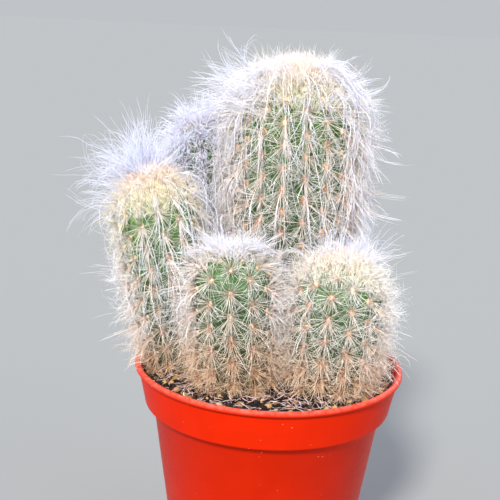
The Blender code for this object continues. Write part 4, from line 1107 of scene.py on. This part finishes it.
def buildShedHairs(rng):
    # they lie in loops over the soil and lean on the stems' feet
    count = soilSpec["hairs"]
    spots = scatterSpots(rng, count, -1.0, 0.6)
    heights = soilLevel + soilHeight(spots[:, 0], spots[:, 1]) + rng.uniform(0.3, 2.2, count) * mm
    path = [np.column_stack([spots, heights])]
    heading = rng.uniform(0, 2 * math.pi, count)
    bend = rng.normal(size=count) * 0.5
    climb = rng.normal(size=count) * 0.35
    step = rng.uniform(*soilSpec["hairStep"], count) * mm
    for index in range(4):
        heading += bend + rng.normal(size=count) * 0.35
        climb = climb * 0.6 + rng.normal(size=count) * 0.35
        point = path[-1] + np.stack([np.cos(heading), np.sin(heading), climb], axis=1) * step[:, None]
        reach = np.linalg.norm(point[:, :2], axis=1)
        point[:, :2] *= np.minimum(1, (soilRadius - 1 * mm) / reach)[:, None]
        ground = soilLevel + soilHeight(point[:, 0], point[:, 1]) + 0.3 * mm
        point[:, 2] = np.clip(point[:, 2], ground, ground + 4 * mm)
        path.append(point)
    radii = np.repeat(rng.uniform(*soilSpec["hairRadius"], (count, 1)) * mm, 4, axis=1)
    hairs = tubes(np.stack(path, axis=1), radii, {"age": rng.random(count), "tone": rng.random(count)}, rng)
    piece = meshPiece("shed_hairs", hairs, shedHair)


print("soil")
rng = np.random.default_rng(7)
buildGround(rng)
buildCrumbsAndGrit(rng)
buildShedHairs(rng)

stageSpec = {"radius": 40.0, "colour": "#909291"}
# soft studio light from large far lamps (angle: their width in degrees), so that the floor is even all over:
# a key from the upper left front, a weak fill from each side, and a rim light from behind for the hair
lightSpec = {
    "key": {"from": (-0.25, -0.95, 0.82), "angle": 9, "strength": 4.7, "colour": "#FFFAF2"},
    "fill": {"from": (0.9, -0.6, 0.5), "angle": 50, "strength": 0.8, "colour": "#F0F4FF"},
    "leftFill": {"from": (-0.9, -0.6, 0.5), "angle": 50, "strength": 0.7, "colour": "#F0F4FF"},
    "rim": {"from": (0.4, 0.9, 0.7), "angle": 35, "strength": 2.3, "colour": "#D4DEFF"},
}
worldSpec = {"colour": "#EEF1F6", "strength": 0.62}
# the photo's camera, found from the ellipses of the pot's lip and collar: degrees, metres and pixels
cameraSpec = {"elevation": 20.03, "distance": 0.38, "pan": -1.477, "tilt": 6.519, "roll": 3.140,
              "focal": 950.1, "frameWidth": 500, "sensorWidth": 36}


def buildStage():
    # matt background paper: one even pale grey, with no gloss
    paper = newMaterial("matt background paper", {
        "Roughness": 1.0, "Base Color": linear(stageSpec["colour"]), "Specular IOR Level": 0.0})[0]
    bpy.ops.mesh.primitive_circle_add(vertices=96, radius=stageSpec["radius"], fill_type="NGON")
    floor = bpy.context.object
    floor.name = "floor"
    floor.data.materials.append(paper)


def buildLights():
    for name, spec in lightSpec.items():
        data = bpy.data.lights.new(name, "SUN")
        data.angle = math.radians(spec["angle"])
        data.energy = spec["strength"]
        data.color = linear(spec["colour"])[:3]
        lamp = bpy.data.objects.new(name, data)
        bpy.context.scene.collection.objects.link(lamp)
        lamp.location = spec["from"]
        lamp.rotation_euler = lamp.location.to_track_quat("Z", "Y").to_euler()
    world = bpy.data.worlds.new("studio")
    world.use_nodes = True
    sky = world.node_tree.nodes["Background"]
    sky.inputs["Color"].default_value = linear(worldSpec["colour"])
    sky.inputs["Strength"].default_value = worldSpec["strength"]
    bpy.context.scene.world = world
    bpy.context.scene.view_settings.view_transform = "Standard"


def swung(first, second, degrees):
    # two axes of the camera, turned towards each other in their plane
    c, s = math.cos(math.radians(degrees)), math.sin(math.radians(degrees))
    return first * c + second * s, second * c - first * s


def buildCamera():
    s = cameraSpec
    rise = math.radians(s["elevation"])
    target = Vector((0, 0, potHeight))
    place = target + s["distance"] * Vector((0, -math.cos(rise), math.sin(rise)))
    ahead = (target - place).normalized()
    right = Vector((1, 0, 0))
    above = right.cross(ahead)
    ahead, right = swung(ahead, right, s["pan"])
    ahead, above = swung(ahead, above, s["tilt"])
    right, above = swung(right, above, s["roll"])
    data = bpy.data.cameras.new("camera")
    data.sensor_width = s["sensorWidth"]
    data.lens = s["sensorWidth"] * s["focal"] / s["frameWidth"]
    data.clip_start = 0.01
    camera = bpy.data.objects.new("camera", data)
    bpy.context.scene.collection.objects.link(camera)
    turn = Matrix((right, above, -ahead)).transposed().to_4x4()
    camera.matrix_world = Matrix.Translation(place) @ turn
    bpy.context.scene.camera = camera


print("stage, lights and camera")
buildStage()
buildLights()
buildCamera()
